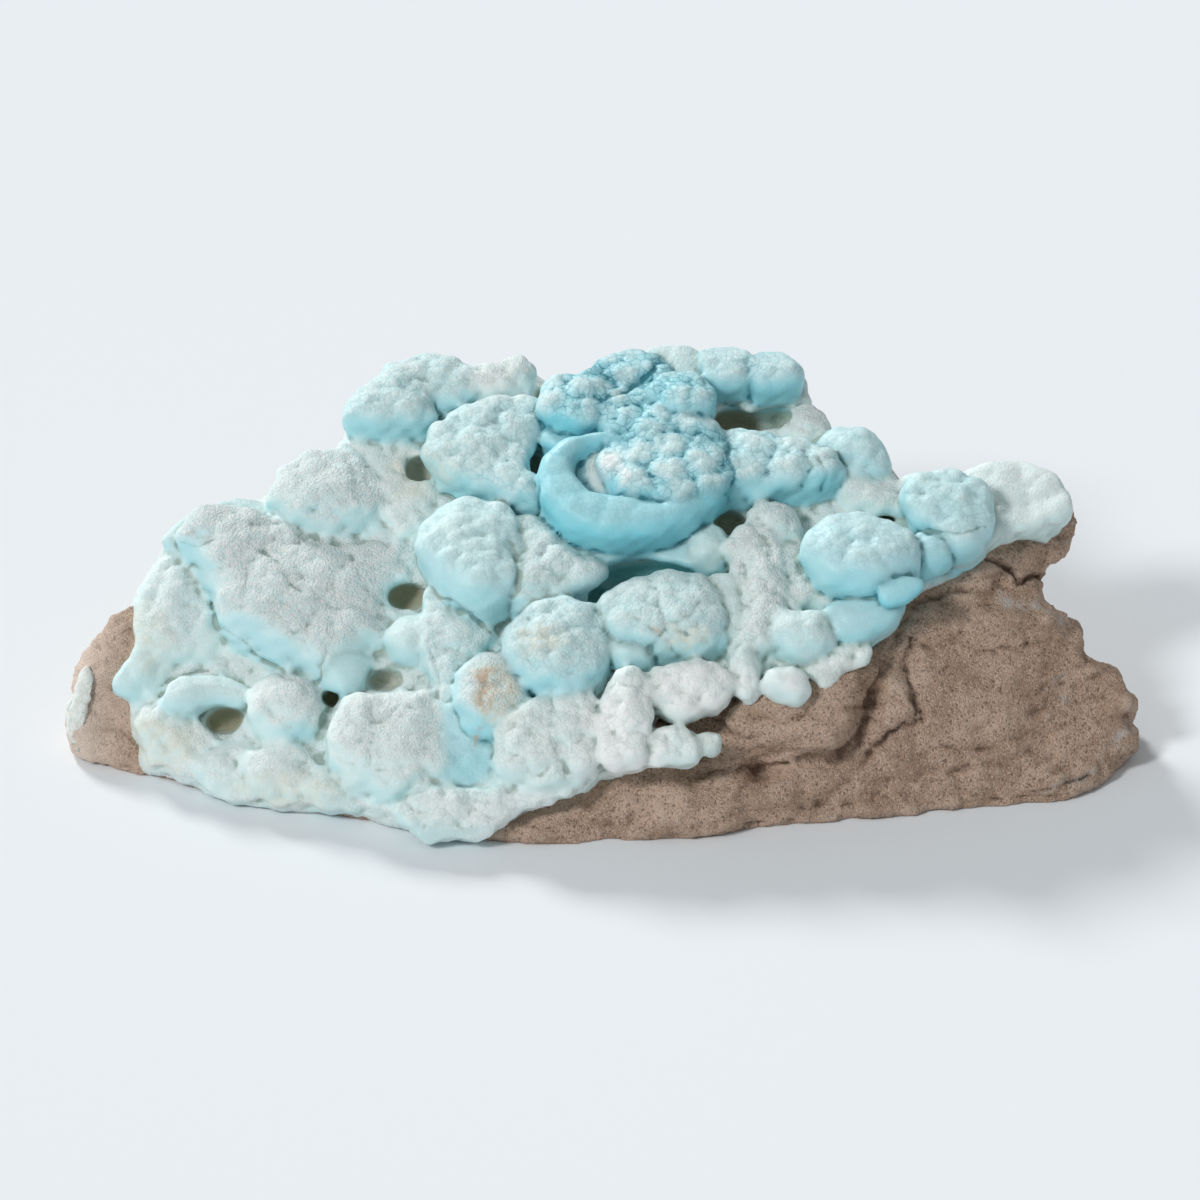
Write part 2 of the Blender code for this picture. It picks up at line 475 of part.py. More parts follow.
def add_lobe(bm, outline, rim, lift, lean, crown, stem, middle=None):
    """A flat-faced lobe with a rolled rim, on its own plane that leans back from the viewer, added to bm."""
    rim, lift, crown = rim * MM, lift * MM, crown * MM
    lean = math.radians(lean)
    columns, rows = zip(*outline)
    centre = Vector(((min(columns) + max(columns)) / 2, (min(rows) + max(rows)) / 2))
    half_up = (max(rows) - min(rows)) / 2 * PIXEL
    stretch = (1 - rim * (1 - math.cos(lean)) / half_up) / math.cos(lean)
    if middle is None:
        across, up = on_plane(*centre)
        middle = in_space(across, up, slope_out(across, up) + lift)
    along = UPWARD * math.cos(lean) - OUTWARD * math.sin(lean)
    facing = UPWARD * math.sin(lean) + OUTWARD * math.cos(lean)
    curve = [Vector((p.x - centre.x, (centre.y - p.y) * stretch)) * PIXEL for p in smooth_outline(outline, AROUND)]
    loops = []
    for inset, share, height in lobe_profile(rim, crown, stem):
        loop = []
        for p in curve:
            kept = max(p.length - inset, 0.15 * p.length) / p.length * share
            loop.append(bm.verts.new(middle + RIGHT * (p.x * kept) + along * (p.y * kept) + facing * height))
        loops.append(loop)
    for lower, upper in zip(loops, loops[1:]):
        for i in range(AROUND):
            j = (i + 1) % AROUND
            bm.faces.new((lower[i], lower[j], upper[j], upper[i]))
    for loop, height in ((loops[0], -stem), (loops[-1], rim + crown)):
        tip = bm.verts.new(middle + facing * height)
        for i in range(AROUND):
            bm.faces.new((loop[i], loop[(i + 1) % AROUND], tip))


def add_layer(bm, behind, before, margin=0, blunt=0):
    """A sheet over the crust's area, a grid that reaches from behind its slope to before it, thinner at its edge.

    margin narrows the area. Where the back comes nearer to the ground than blunt, it goes through the ground instead.
    """
    step = 6
    columns = range(105, 1085, step)
    rows = range(350, 850, step)
    front, back = {}, {}
    for px in columns:
        for py in rows:
            if inside((px, py), CRUST_OUTLINE) and edge_distance((px, py), CRUST_OUTLINE) * PIXEL >= margin:
                across, up = on_plane(px, py)
                out = slope_out(across, up)
                front[px, py] = bm.verts.new(in_space(across, up, out + before - edge_drop((px, py))))
                rear = in_space(across, up, out + behind)
                if rear.z < blunt:
                    rear -= OUTWARD * ((rear.z + blunt) / OUTWARD.z)
                back[px, py] = bm.verts.new(rear)
    cells = [
        [(px, py), (px, py + step), (px + step, py + step), (px + step, py)]
        for px, py in front
        if all(c in front for c in ((px, py + step), (px + step, py + step), (px + step, py)))
    ]
    edges = {}
    for cell in cells:
        bm.faces.new([front[c] for c in cell])
        bm.faces.new([back[c] for c in reversed(cell)])
        for a, b in zip(cell, cell[1:] + cell[:1]):
            edges[a, b] = True
    for a, b in edges:
        if (b, a) not in edges:
            bm.faces.new((front[b], front[a], back[a], back[b]))
    loose = [v for v in bm.verts if not v.link_faces]
    bmesh.ops.delete(bm, geom=loose, context="VERTS")


def add_block(bm, face, outline, behind, before, behind_size, before_size):
    """A block seen as an outline, from behind a face to before it, with its two ends scaled."""
    points = [Vector(on_plane(*pixel)) for pixel in outline]
    middle = sum(points, Vector((0, 0))) / len(points)
    rings = []
    for size, out in ((behind_size, behind), (before_size, before)):
        ring = []
        for p in points:
            across, up = middle + (p - middle) * size
            start = in_space(across, up, LENGTH)
            hit = face.ray_cast(start, -OUTWARD)[0] or face.find_nearest(in_space(across, up, 0))[0]
            ring.append(bm.verts.new(hit + OUTWARD * out))
        rings.append(ring)
    count = len(points)
    for i in range(count):
        j = (i + 1) % count
        bm.faces.new((rings[0][i], rings[0][j], rings[1][j], rings[1][i]))
    for ring in rings:
        tip = bm.verts.new(sum((v.co for v in ring), Vector()) / count)
        for i in range(count):
            bm.faces.new((ring[i], ring[(i + 1) % count], tip))


def add_ball(bm, middle, half, axes=None):
    """An ellipsoid of these half sizes along its axes, which are X, Y and Z unless given."""
    axes = axes or (Vector((1, 0, 0)), Vector((0, 1, 0)), Vector((0, 0, 1)))
    ball = bmesh.ops.create_icosphere(bm, subdivisions=3, radius=1)
    for v in ball["verts"]:
        v.co = middle + sum((axis * (size * c) for axis, size, c in zip(axes, half, v.co)), Vector())


def add_hull(bm, points):
    """The convex hull of these points, as a closed body."""
    hull = bmesh.new()
    for p in points:
        hull.verts.new(p)
    made = bmesh.ops.convex_hull(hull, input=hull.verts)
    unused = {g for g in made["geom_interior"] + made["geom_unused"] if isinstance(g, bmesh.types.BMVert)}
    bmesh.ops.delete(hull, geom=list(unused), context="VERTS")
    bmesh.ops.recalc_face_normals(hull, faces=hull.faces)
    mesh = bpy.data.meshes.new("hull")
    hull.to_mesh(mesh)
    hull.free()
    bm.from_mesh(mesh)
    bpy.data.meshes.remove(mesh)


def new_object(name, bm):
    mesh = bpy.data.meshes.new(name)
    bmesh.ops.recalc_face_normals(bm, faces=bm.faces)
    bm.to_mesh(mesh)
    bm.free()
    obj = bpy.data.objects.new(name, mesh)
    bpy.context.scene.collection.objects.link(obj)
    return obj


def apply_modifiers(obj):
    """Replaces the object's mesh by its mesh with the modifiers applied."""
    graph = bpy.context.evaluated_depsgraph_get()
    old = obj.data
    obj.data = bpy.data.meshes.new_from_object(obj.evaluated_get(graph))
    obj.modifiers.clear()
    bpy.data.meshes.remove(old)


def voxel_join(obj, voxel, relax):
    """Joins the overlapping bodies of an object into one skin, and rounds its creases a little."""
    remesh = obj.modifiers.new("join", "REMESH")
    remesh.mode = "VOXEL"
    remesh.voxel_size = voxel
    remesh.adaptivity = 0
    smooth = obj.modifiers.new("relax", "SMOOTH")
    smooth.factor = 0.5
    smooth.iterations = relax
    apply_modifiers(obj)


def boolean(obj, other, operation):
    modifier = obj.modifiers.new(operation.lower(), "BOOLEAN")
    modifier.object = other
    modifier.operation = operation
    modifier.solver = "EXACT"
    apply_modifiers(obj)


def is_covered(point, normal):
    """Whether a point of the stone lies under the crust."""
    seen = point + Vector((0, DEPTH_TO_MIDDLE, 0))
    pixel = (seen.x / PIXEL + MIDDLE_PX, GROUND_PX - seen.dot(UPWARD) / PIXEL)
    return normal.dot(OUTWARD) > 0 and inside(pixel, CRUST_OUTLINE)


def roughen(obj, layers, seed):
    """Moves each uncovered point along its normal by sums of noise, one for each (size, height)."""
    mesh = obj.data
    normals = [v.normal.copy() for v in mesh.vertices]
    shift = Vector((seed * 3.1, seed * 1.7, seed * 2.3))
    for v, normal in zip(mesh.vertices, normals):
        if obj.name == "matrix_rock" and is_covered(v.co, normal):
            continue
        for size, height in layers:
            v.co += normal * (height * noise.noise(v.co / size + shift))
    mesh.update()


def reduce_to(obj, triangles):
    """Collapses edges until about this many triangles are left."""
    mesh = obj.data
    mesh.calc_loop_triangles()
    decimate = obj.modifiers.new("reduce", "DECIMATE")
    decimate.ratio = triangles / len(mesh.loop_triangles)
    apply_modifiers(obj)


def keep_largest_piece(obj):
    """Deletes all but the largest connected piece of an object's mesh."""
    bm = bmesh.new()
    bm.from_mesh(obj.data)
    bm.verts.ensure_lookup_table()
    left = set(bm.verts)
    pieces = []
    while left:
        start = left.pop()
        piece, front = {start}, [start]
        while front:
            for edge in front.pop().link_edges:
                for v in edge.verts:
                    if v in left:
                        left.remove(v)
                        piece.add(v)
                        front.append(v)
        pieces.append(piece)
    largest = max(pieces, key=len)
    bmesh.ops.delete(bm, geom=[v for v in bm.verts if v not in largest], context="VERTS")
    bmesh.ops.triangulate(bm, faces=bm.faces)
    bm.to_mesh(obj.data)
    bm.free()


def flatten_base(obj, reach):
    """Lays every point within reach of the ground on the ground."""
    for v in obj.data.vertices:
        if v.co.z < reach:
            v.co.z = 0


def paint(obj, name, colour, roughness):
    material = bpy.data.materials.new(name)
    material.use_nodes = True
    shader = material.node_tree.nodes["Principled BSDF"]
    shader.inputs["Base Color"].default_value = colour
    shader.inputs["Roughness"].default_value = roughness
    shader.inputs["Metallic"].default_value = 0
    obj.data.materials.clear()
    obj.data.materials.append(material)


def push_out(obj, distance):
    """Moves every point of an object outwards along its normal."""
    normals = [v.normal.copy() for v in obj.data.vertices]
    for v, normal in zip(obj.data.vertices, normals):
        v.co += normal * distance


def copy_as_cutter(solid):
    cutter = bpy.data.objects.new("cutter", solid.data.copy())
    bpy.context.scene.collection.objects.link(cutter)
    cutter.hide_render = True
    cutter.display_type = "WIRE"
    return cutter


def trim_by(obj, stone):
    """Cuts the stone out of a crust with a gap: by a soft shell of it, and by a close copy that has its sharp edges."""
    shell = copy_as_cutter(stone)
    voxel_join(shell, CRUST_VOXEL, relax=0)
    push_out(shell, GAP)
    voxel_join(shell, CRUST_VOXEL, relax=1)
    reduce_to(shell, SHELL_TRIANGLES)
    close = copy_as_cutter(stone)
    push_out(close, EDGE_GAP)
    for cutter in (shell, close):
        boolean(obj, cutter, "DIFFERENCE")
        bpy.data.objects.remove(cutter)
    keep_largest_piece(obj)


def corners(front, back):
    """The points in space of a list of seen corners and a list of hidden ones."""
    seen = [seen_at(px, py, height * MM) for (px, py), height in front]
    hidden = [Vector((on_plane(px, 0)[0], depth * MM - DEPTH_TO_MIDDLE, height * MM)) for px, depth, height in back]
    return seen + hidden


def build_stone():
    """The matrix stone: hulls of its corners, with lumps joined and bites taken, broken rough and flat below."""
    bm = bmesh.new()
    add_hull(bm, corners(STONE_FRONT_CORNERS, STONE_BACK_CORNERS))
    face = BVHTree.FromBMesh(bm)
    add_hull(bm, corners(HORN_FRONT_CORNERS, HORN_BACK_CORNERS))
    for lump in STONE_LUMPS.values():
        add_block(bm, face, lump["outline"], -4 * MM, lump["proud"] * MM, 1, lump["narrowing"])
    for knob in STONE_KNOBS.values():
        add_ball(bm, seen_at(*knob["at"], knob["height"] * MM), [size * MM for size in knob["half"]])
    stone = new_object("matrix_rock", bm)
    voxel_join(stone, STONE_VOXEL, relax=1)
    bites = bmesh.new()
    for bite in STONE_BITES.values():
        add_block(bites, face, bite["outline"], -bite["deep"] * MM, 9 * MM, bite["narrowing"], 1.2)
    add_layer(bites, -CRUST_THICKNESS, 30 * MM, margin=CRUST_OVERLAP, blunt=STONE_TOE)
    cutter = new_object("bites", bites)
    voxel_join(cutter, STONE_VOXEL, relax=0)
    boolean(stone, cutter, "DIFFERENCE")
    bpy.data.objects.remove(cutter)
    voxel_join(stone, STONE_VOXEL, relax=3)
    roughen(stone, STONE_ROUGHNESS, seed=1)
    flatten_base(stone, reach=1.1 * MM)
    reduce_to(stone, STONE_TRIANGLES)
    flatten_base(stone, reach=0.4 * MM)
    keep_largest_piece(stone)
    paint(stone, "brown_sandstone", STONE_COLOUR, roughness=0.9)
    return stone


def build_crust(stone):
    """The aragonite crust: the layer and its lobes in one skin, with its hollows, trimmed where the stone is."""
    bm = bmesh.new()
    add_layer(bm, -CRUST_THICKNESS - CRUST_BURIED, 0)
    for lobe in LOBES.values():
        add_lobe(bm, **lobe, stem=5.5 * MM)
    crust = new_object("aragonite_crust", bm)
    voxel_join(crust, CRUST_VOXEL, relax=2)
    hollows = bmesh.new()
    for hollow in HOLLOWS.values():
        across, up = on_plane(*hollow["middle"])
        floor = slope_out(across, up) - hollow["depth"] * MM
        roof = slope_out(across, up) + HOLLOW_ROOF
        middle = in_space(across, up, (floor + roof) / 2)
        wide, high = hollow["half"]
        half = (wide * PIXEL, high * PIXEL, (roof - floor) / 2)
        add_ball(hollows, middle, half, (RIGHT, UPWARD, OUTWARD))
    cutter = new_object("hollows", hollows)
    voxel_join(cutter, CRUST_VOXEL, relax=0)
    boolean(crust, cutter, "DIFFERENCE")
    bpy.data.objects.remove(cutter)
    voxel_join(crust, CRUST_VOXEL, relax=1)
    roughen(crust, CRUST_ROUGHNESS, seed=2)
    reduce_to(crust, CRUST_TRIANGLES)
    for v in crust.data.vertices:
        v.co.z = max(v.co.z, 0.3 * MM)
    trim_by(crust, stone)
    crust.data.shade_smooth()
    paint(crust, "blue_aragonite", CRUST_COLOUR, roughness=0.45)
    return crust


def build_film(stone):
    """The thin aragonite film on the stone's west tip."""
    bm = bmesh.new()
    pixel, height = WEST_FILM_PLACE
    add_lobe(bm, **WEST_FILM, stem=5 * MM, middle=seen_at(*pixel, height * MM))
    film = new_object("west_end_crust", bm)
    voxel_join(film, CRUST_VOXEL, relax=1)
    reduce_to(film, 240)
    trim_by(film, stone)
    film.data.shade_smooth()
    paint(film, "white_aragonite", FILM_COLOUR, roughness=0.6)
    return film


def main():
    for obj in list(bpy.data.objects):
        bpy.data.objects.remove(obj)
    stone = build_stone()
    build_crust(stone)
    build_film(stone)


main()
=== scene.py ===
import math

import bmesh
import bpy
import numpy as np
import openvdb
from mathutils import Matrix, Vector


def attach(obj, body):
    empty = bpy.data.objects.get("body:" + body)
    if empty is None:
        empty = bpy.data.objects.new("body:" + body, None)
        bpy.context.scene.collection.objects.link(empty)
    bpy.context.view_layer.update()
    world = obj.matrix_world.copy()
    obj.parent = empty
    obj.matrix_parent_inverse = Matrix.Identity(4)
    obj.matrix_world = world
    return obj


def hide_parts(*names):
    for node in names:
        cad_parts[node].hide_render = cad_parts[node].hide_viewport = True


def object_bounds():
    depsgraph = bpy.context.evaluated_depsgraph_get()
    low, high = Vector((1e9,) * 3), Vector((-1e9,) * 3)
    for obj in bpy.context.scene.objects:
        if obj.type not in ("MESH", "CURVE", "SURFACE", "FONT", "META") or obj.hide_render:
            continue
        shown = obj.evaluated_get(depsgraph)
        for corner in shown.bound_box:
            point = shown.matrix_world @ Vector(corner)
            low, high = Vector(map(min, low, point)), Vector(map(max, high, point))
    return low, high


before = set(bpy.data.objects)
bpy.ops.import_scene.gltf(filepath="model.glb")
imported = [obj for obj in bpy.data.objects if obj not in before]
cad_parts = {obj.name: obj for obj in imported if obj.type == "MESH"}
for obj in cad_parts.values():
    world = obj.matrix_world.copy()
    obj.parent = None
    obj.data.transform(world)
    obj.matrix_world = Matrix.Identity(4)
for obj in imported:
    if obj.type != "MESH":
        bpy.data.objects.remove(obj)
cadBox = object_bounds()
print("frame loaded")

# The specimen is laid out on the leaning plane that the camera sees square on: x across, h up and w towards
# the camera, in millimetres. A place on that plane is a pixel of the 1200 pixel picture.
specimenLength = 162  # mm
picture = {  # in pixels, but for the last two rows
    "width": 1200,
    "aim": (600, 600),
    "lengthSeen": 1078,
    "middleColumn": 601,
    "groundRow": 850,
    "rise": math.radians(30),  # camera above the horizon
    "depthToMiddle": 40.5,  # mm from the nearest point on the ground to the frame's origin
}
pixel = specimenLength / picture["lengthSeen"]  # mm
sinRise = math.sin(picture["rise"])
cosRise = math.cos(picture["rise"])
towardsCamera = (0, -cosRise, sinRise)
millimetre = 0.001


def toPlane(pixels):  # pixels to (x, h) in mm
    pixels = np.asarray(pixels, float)
    x = (pixels[..., 0] - picture["middleColumn"]) * pixel
    h = (picture["groundRow"] - pixels[..., 1]) * pixel
    return np.stack([x, h], axis=-1)


def toWorld(points):  # (x, h, w) in mm to metres in the frame
    x, h, w = points.T
    y = h * sinRise - w * cosRise - picture["depthToMiddle"]
    return np.stack([x, y, h * cosRise + w * sinRise], axis=-1) * millimetre


def turnToPlane(directions):  # world directions to (x, h, w)
    x, y, z = directions.T
    return np.stack([x, y * sinRise + z * cosRise, z * sinRise - y * cosRise], axis=-1)


def fromWorld(points):  # metres in the frame to (x, h, w) in mm
    return turnToPlane(points / millimetre + [0, picture["depthToMiddle"], 0])


# Heights in mm above the ground of the layer that the lobes stand on, at pixels of the picture.
spotHeights = {
    (140, 765): 1.5, (220, 795): 1.5, (300, 812): 1.5, (400, 828): 1.5, (470, 840): 1.5, (560, 800): 6,
    (640, 770): 9, (130, 612): 18, (160, 545): 24, (240, 503): 29, (340, 450): 35, (430, 365): 43,
    (530, 370): 43.5, (690, 352): 45, (790, 365): 44, (820, 420): 40, (890, 475): 36.5, (1000, 468): 36,
    (1070, 512): 32, (150, 680): 10, (300, 650): 17, (300, 740): 8, (450, 700): 14, (480, 560): 27,
    (620, 500): 33, (560, 650): 20, (680, 650): 21, (690, 720): 15, (800, 600): 27, (860, 640): 24,
    (950, 560): 30, (990, 540): 31, (440, 450): 36, (700, 450): 38,
}


def slopeTerms(x, h):
    x, h = x / specimenLength, h / specimenLength
    return np.stack([np.ones_like(x), x, h, x * x, x * h, h * h], axis=-1)


spots = toPlane(list(spotHeights))
spotOuts = (np.array(list(spotHeights.values())) - spots[:, 1] * cosRise) / sinRise
slopeFactors = np.linalg.lstsq(slopeTerms(*spots.T), spotOuts, rcond=None)[0]


def slopeOut(x, h):  # how far the layer stands out from the plane
    return slopeTerms(x, h) @ slopeFactors


def smoothClosed(points, perSide):  # a closed curve through the points
    points = np.asarray(points, float)
    a, b, c, d = (np.roll(points, shift, axis=0) for shift in (1, 0, -1, -2))
    t = (np.arange(perSide) / perSide)[None, :, None]
    a, b, c, d = (p[:, None, :] for p in (a, b, c, d))
    curve = 0.5 * (2 * b + (c - a) * t + (2 * a - 5 * b + 4 * c - d) * t**2 + (3 * b - a - 3 * c + d) * t**3)
    return curve.reshape(-1, 2)


def outlineRaster(curve, reach, spacing=0.25):  # signed distance to a closed curve, negative inside
    low = curve.min(axis=0) - reach
    counts = np.ceil((curve.max(axis=0) + reach - low) / spacing).astype(int) + 2
    u = low[0] + np.arange(counts[0])[:, None] * spacing
    v = low[1] + np.arange(counts[1])[None, :] * spacing
    nearest = np.full(counts, 1e9)
    inside = np.zeros(counts, bool)
    for (u0, v0), (u1, v1) in zip(curve, np.roll(curve, -1, axis=0)):
        du, dv = u1 - u0, v1 - v0
        share = np.clip(((u - u0) * du + (v - v0) * dv) / max(du * du + dv * dv, 1e-9), 0, 1)
        nearest = np.minimum(nearest, (u - u0 - share * du) ** 2 + (v - v0 - share * dv) ** 2)
        if v0 != v1:
            inside ^= ((v0 > v) != (v1 > v)) & (u < du * (v - v0) / dv + u0)
    distance = np.sqrt(nearest)
    signed = np.where(inside, -distance, distance).astype(np.float32)
    return {"low": low, "spacing": spacing, "values": signed}


def sampleRaster(raster, u, v):  # the distance between the raster's points
    values = raster["values"]
    i = np.clip((u - raster["low"][0]) / raster["spacing"], 0, values.shape[0] - 1.001)
    j = np.clip((v - raster["low"][1]) / raster["spacing"], 0, values.shape[1] - 1.001)
    i0, j0 = i.astype(int), j.astype(int)
    fi, fj = i - i0, j - j0
    near = values[i0, j0] * (1 - fj) + values[i0, j0 + 1] * fj
    far = values[i0 + 1, j0] * (1 - fj) + values[i0 + 1, j0 + 1] * fj
    return near * (1 - fi) + far * fi


def smoothMin(a, b, k):  # the smaller of two distances, blended over about k
    mix = np.clip(0.5 + 0.5 * (b - a) / k, 0, 1)
    return b * (1 - mix) + a * mix - k * mix * (1 - mix)


def ramp(value, low, high):  # a smooth step from 0 to 1
    t = np.clip((value - low) / (high - low), 0, 1)
    return t * t * (3 - 2 * t)


# The crust: a layer with lobes on it, in mm.
crust = {
    "voxel": 0.42,
    "grid": ((-75, 73), (-1.5, 77), (-54, 18)),  # x, h and w
    "thickness": 10.0,  # of the layer, into the stone
    "rise": 2.0,  # of the layer's lumpy top between the lobes
    "wander": 1.6,  # of that top
    "edgeRadius": 5.5,
    "stem": 5.5,  # how far the stem under a lobe reaches down
    "stemBlend": 0.8,
    "hollowRoof": 2.2,  # how far above the layer's top a hollow still cuts
    "hollowBlend": 1.3,
    "clearance": 3.0,  # around a lobe, for its blend
    "floorGap": 0.3,
    "hiddenBack": 2.0,  # of the thickness, inside the stone, where the mesh is thinned out first
    "backTriangles": 1000,
    "triangles": 196000,
    "outline": [
        (130, 612), (147, 575), (163, 545), (188, 520), (208, 507), (240, 504), (264, 500), (278, 482),
        (294, 463), (315, 455), (340, 450), (353, 408), (374, 382), (402, 369), (435, 364), (468, 376),
        (500, 371), (522, 366), (545, 385), (575, 384), (602, 372), (640, 357), (695, 354), (745, 361),
        (785, 365), (800, 384), (808, 408), (826, 419), (835, 440), (858, 433), (878, 443), (889, 470),
        (902, 485), (940, 481), (955, 477), (978, 469), (1007, 464), (1037, 473), (1058, 486), (1072, 512),
        (1060, 526), (1038, 532), (1020, 536), (1003, 541), (986, 549), (970, 572), (935, 588), (905, 602),
        (890, 625), (866, 646), (845, 660), (822, 676), (800, 690), (780, 690), (757, 694), (735, 698),
        (712, 710), (690, 716), (660, 712), (650, 735), (650, 760), (620, 775), (590, 782), (560, 797),
        (520, 814), (498, 830), (470, 841), (440, 841), (400, 829), (370, 818), (330, 813), (290, 814),
        (250, 811), (220, 800), (192, 791), (165, 780), (142, 770), (130, 750), (123, 730), (116, 705),
        (114, 690), (125, 668), (136, 650), (131, 628),
    ],
}

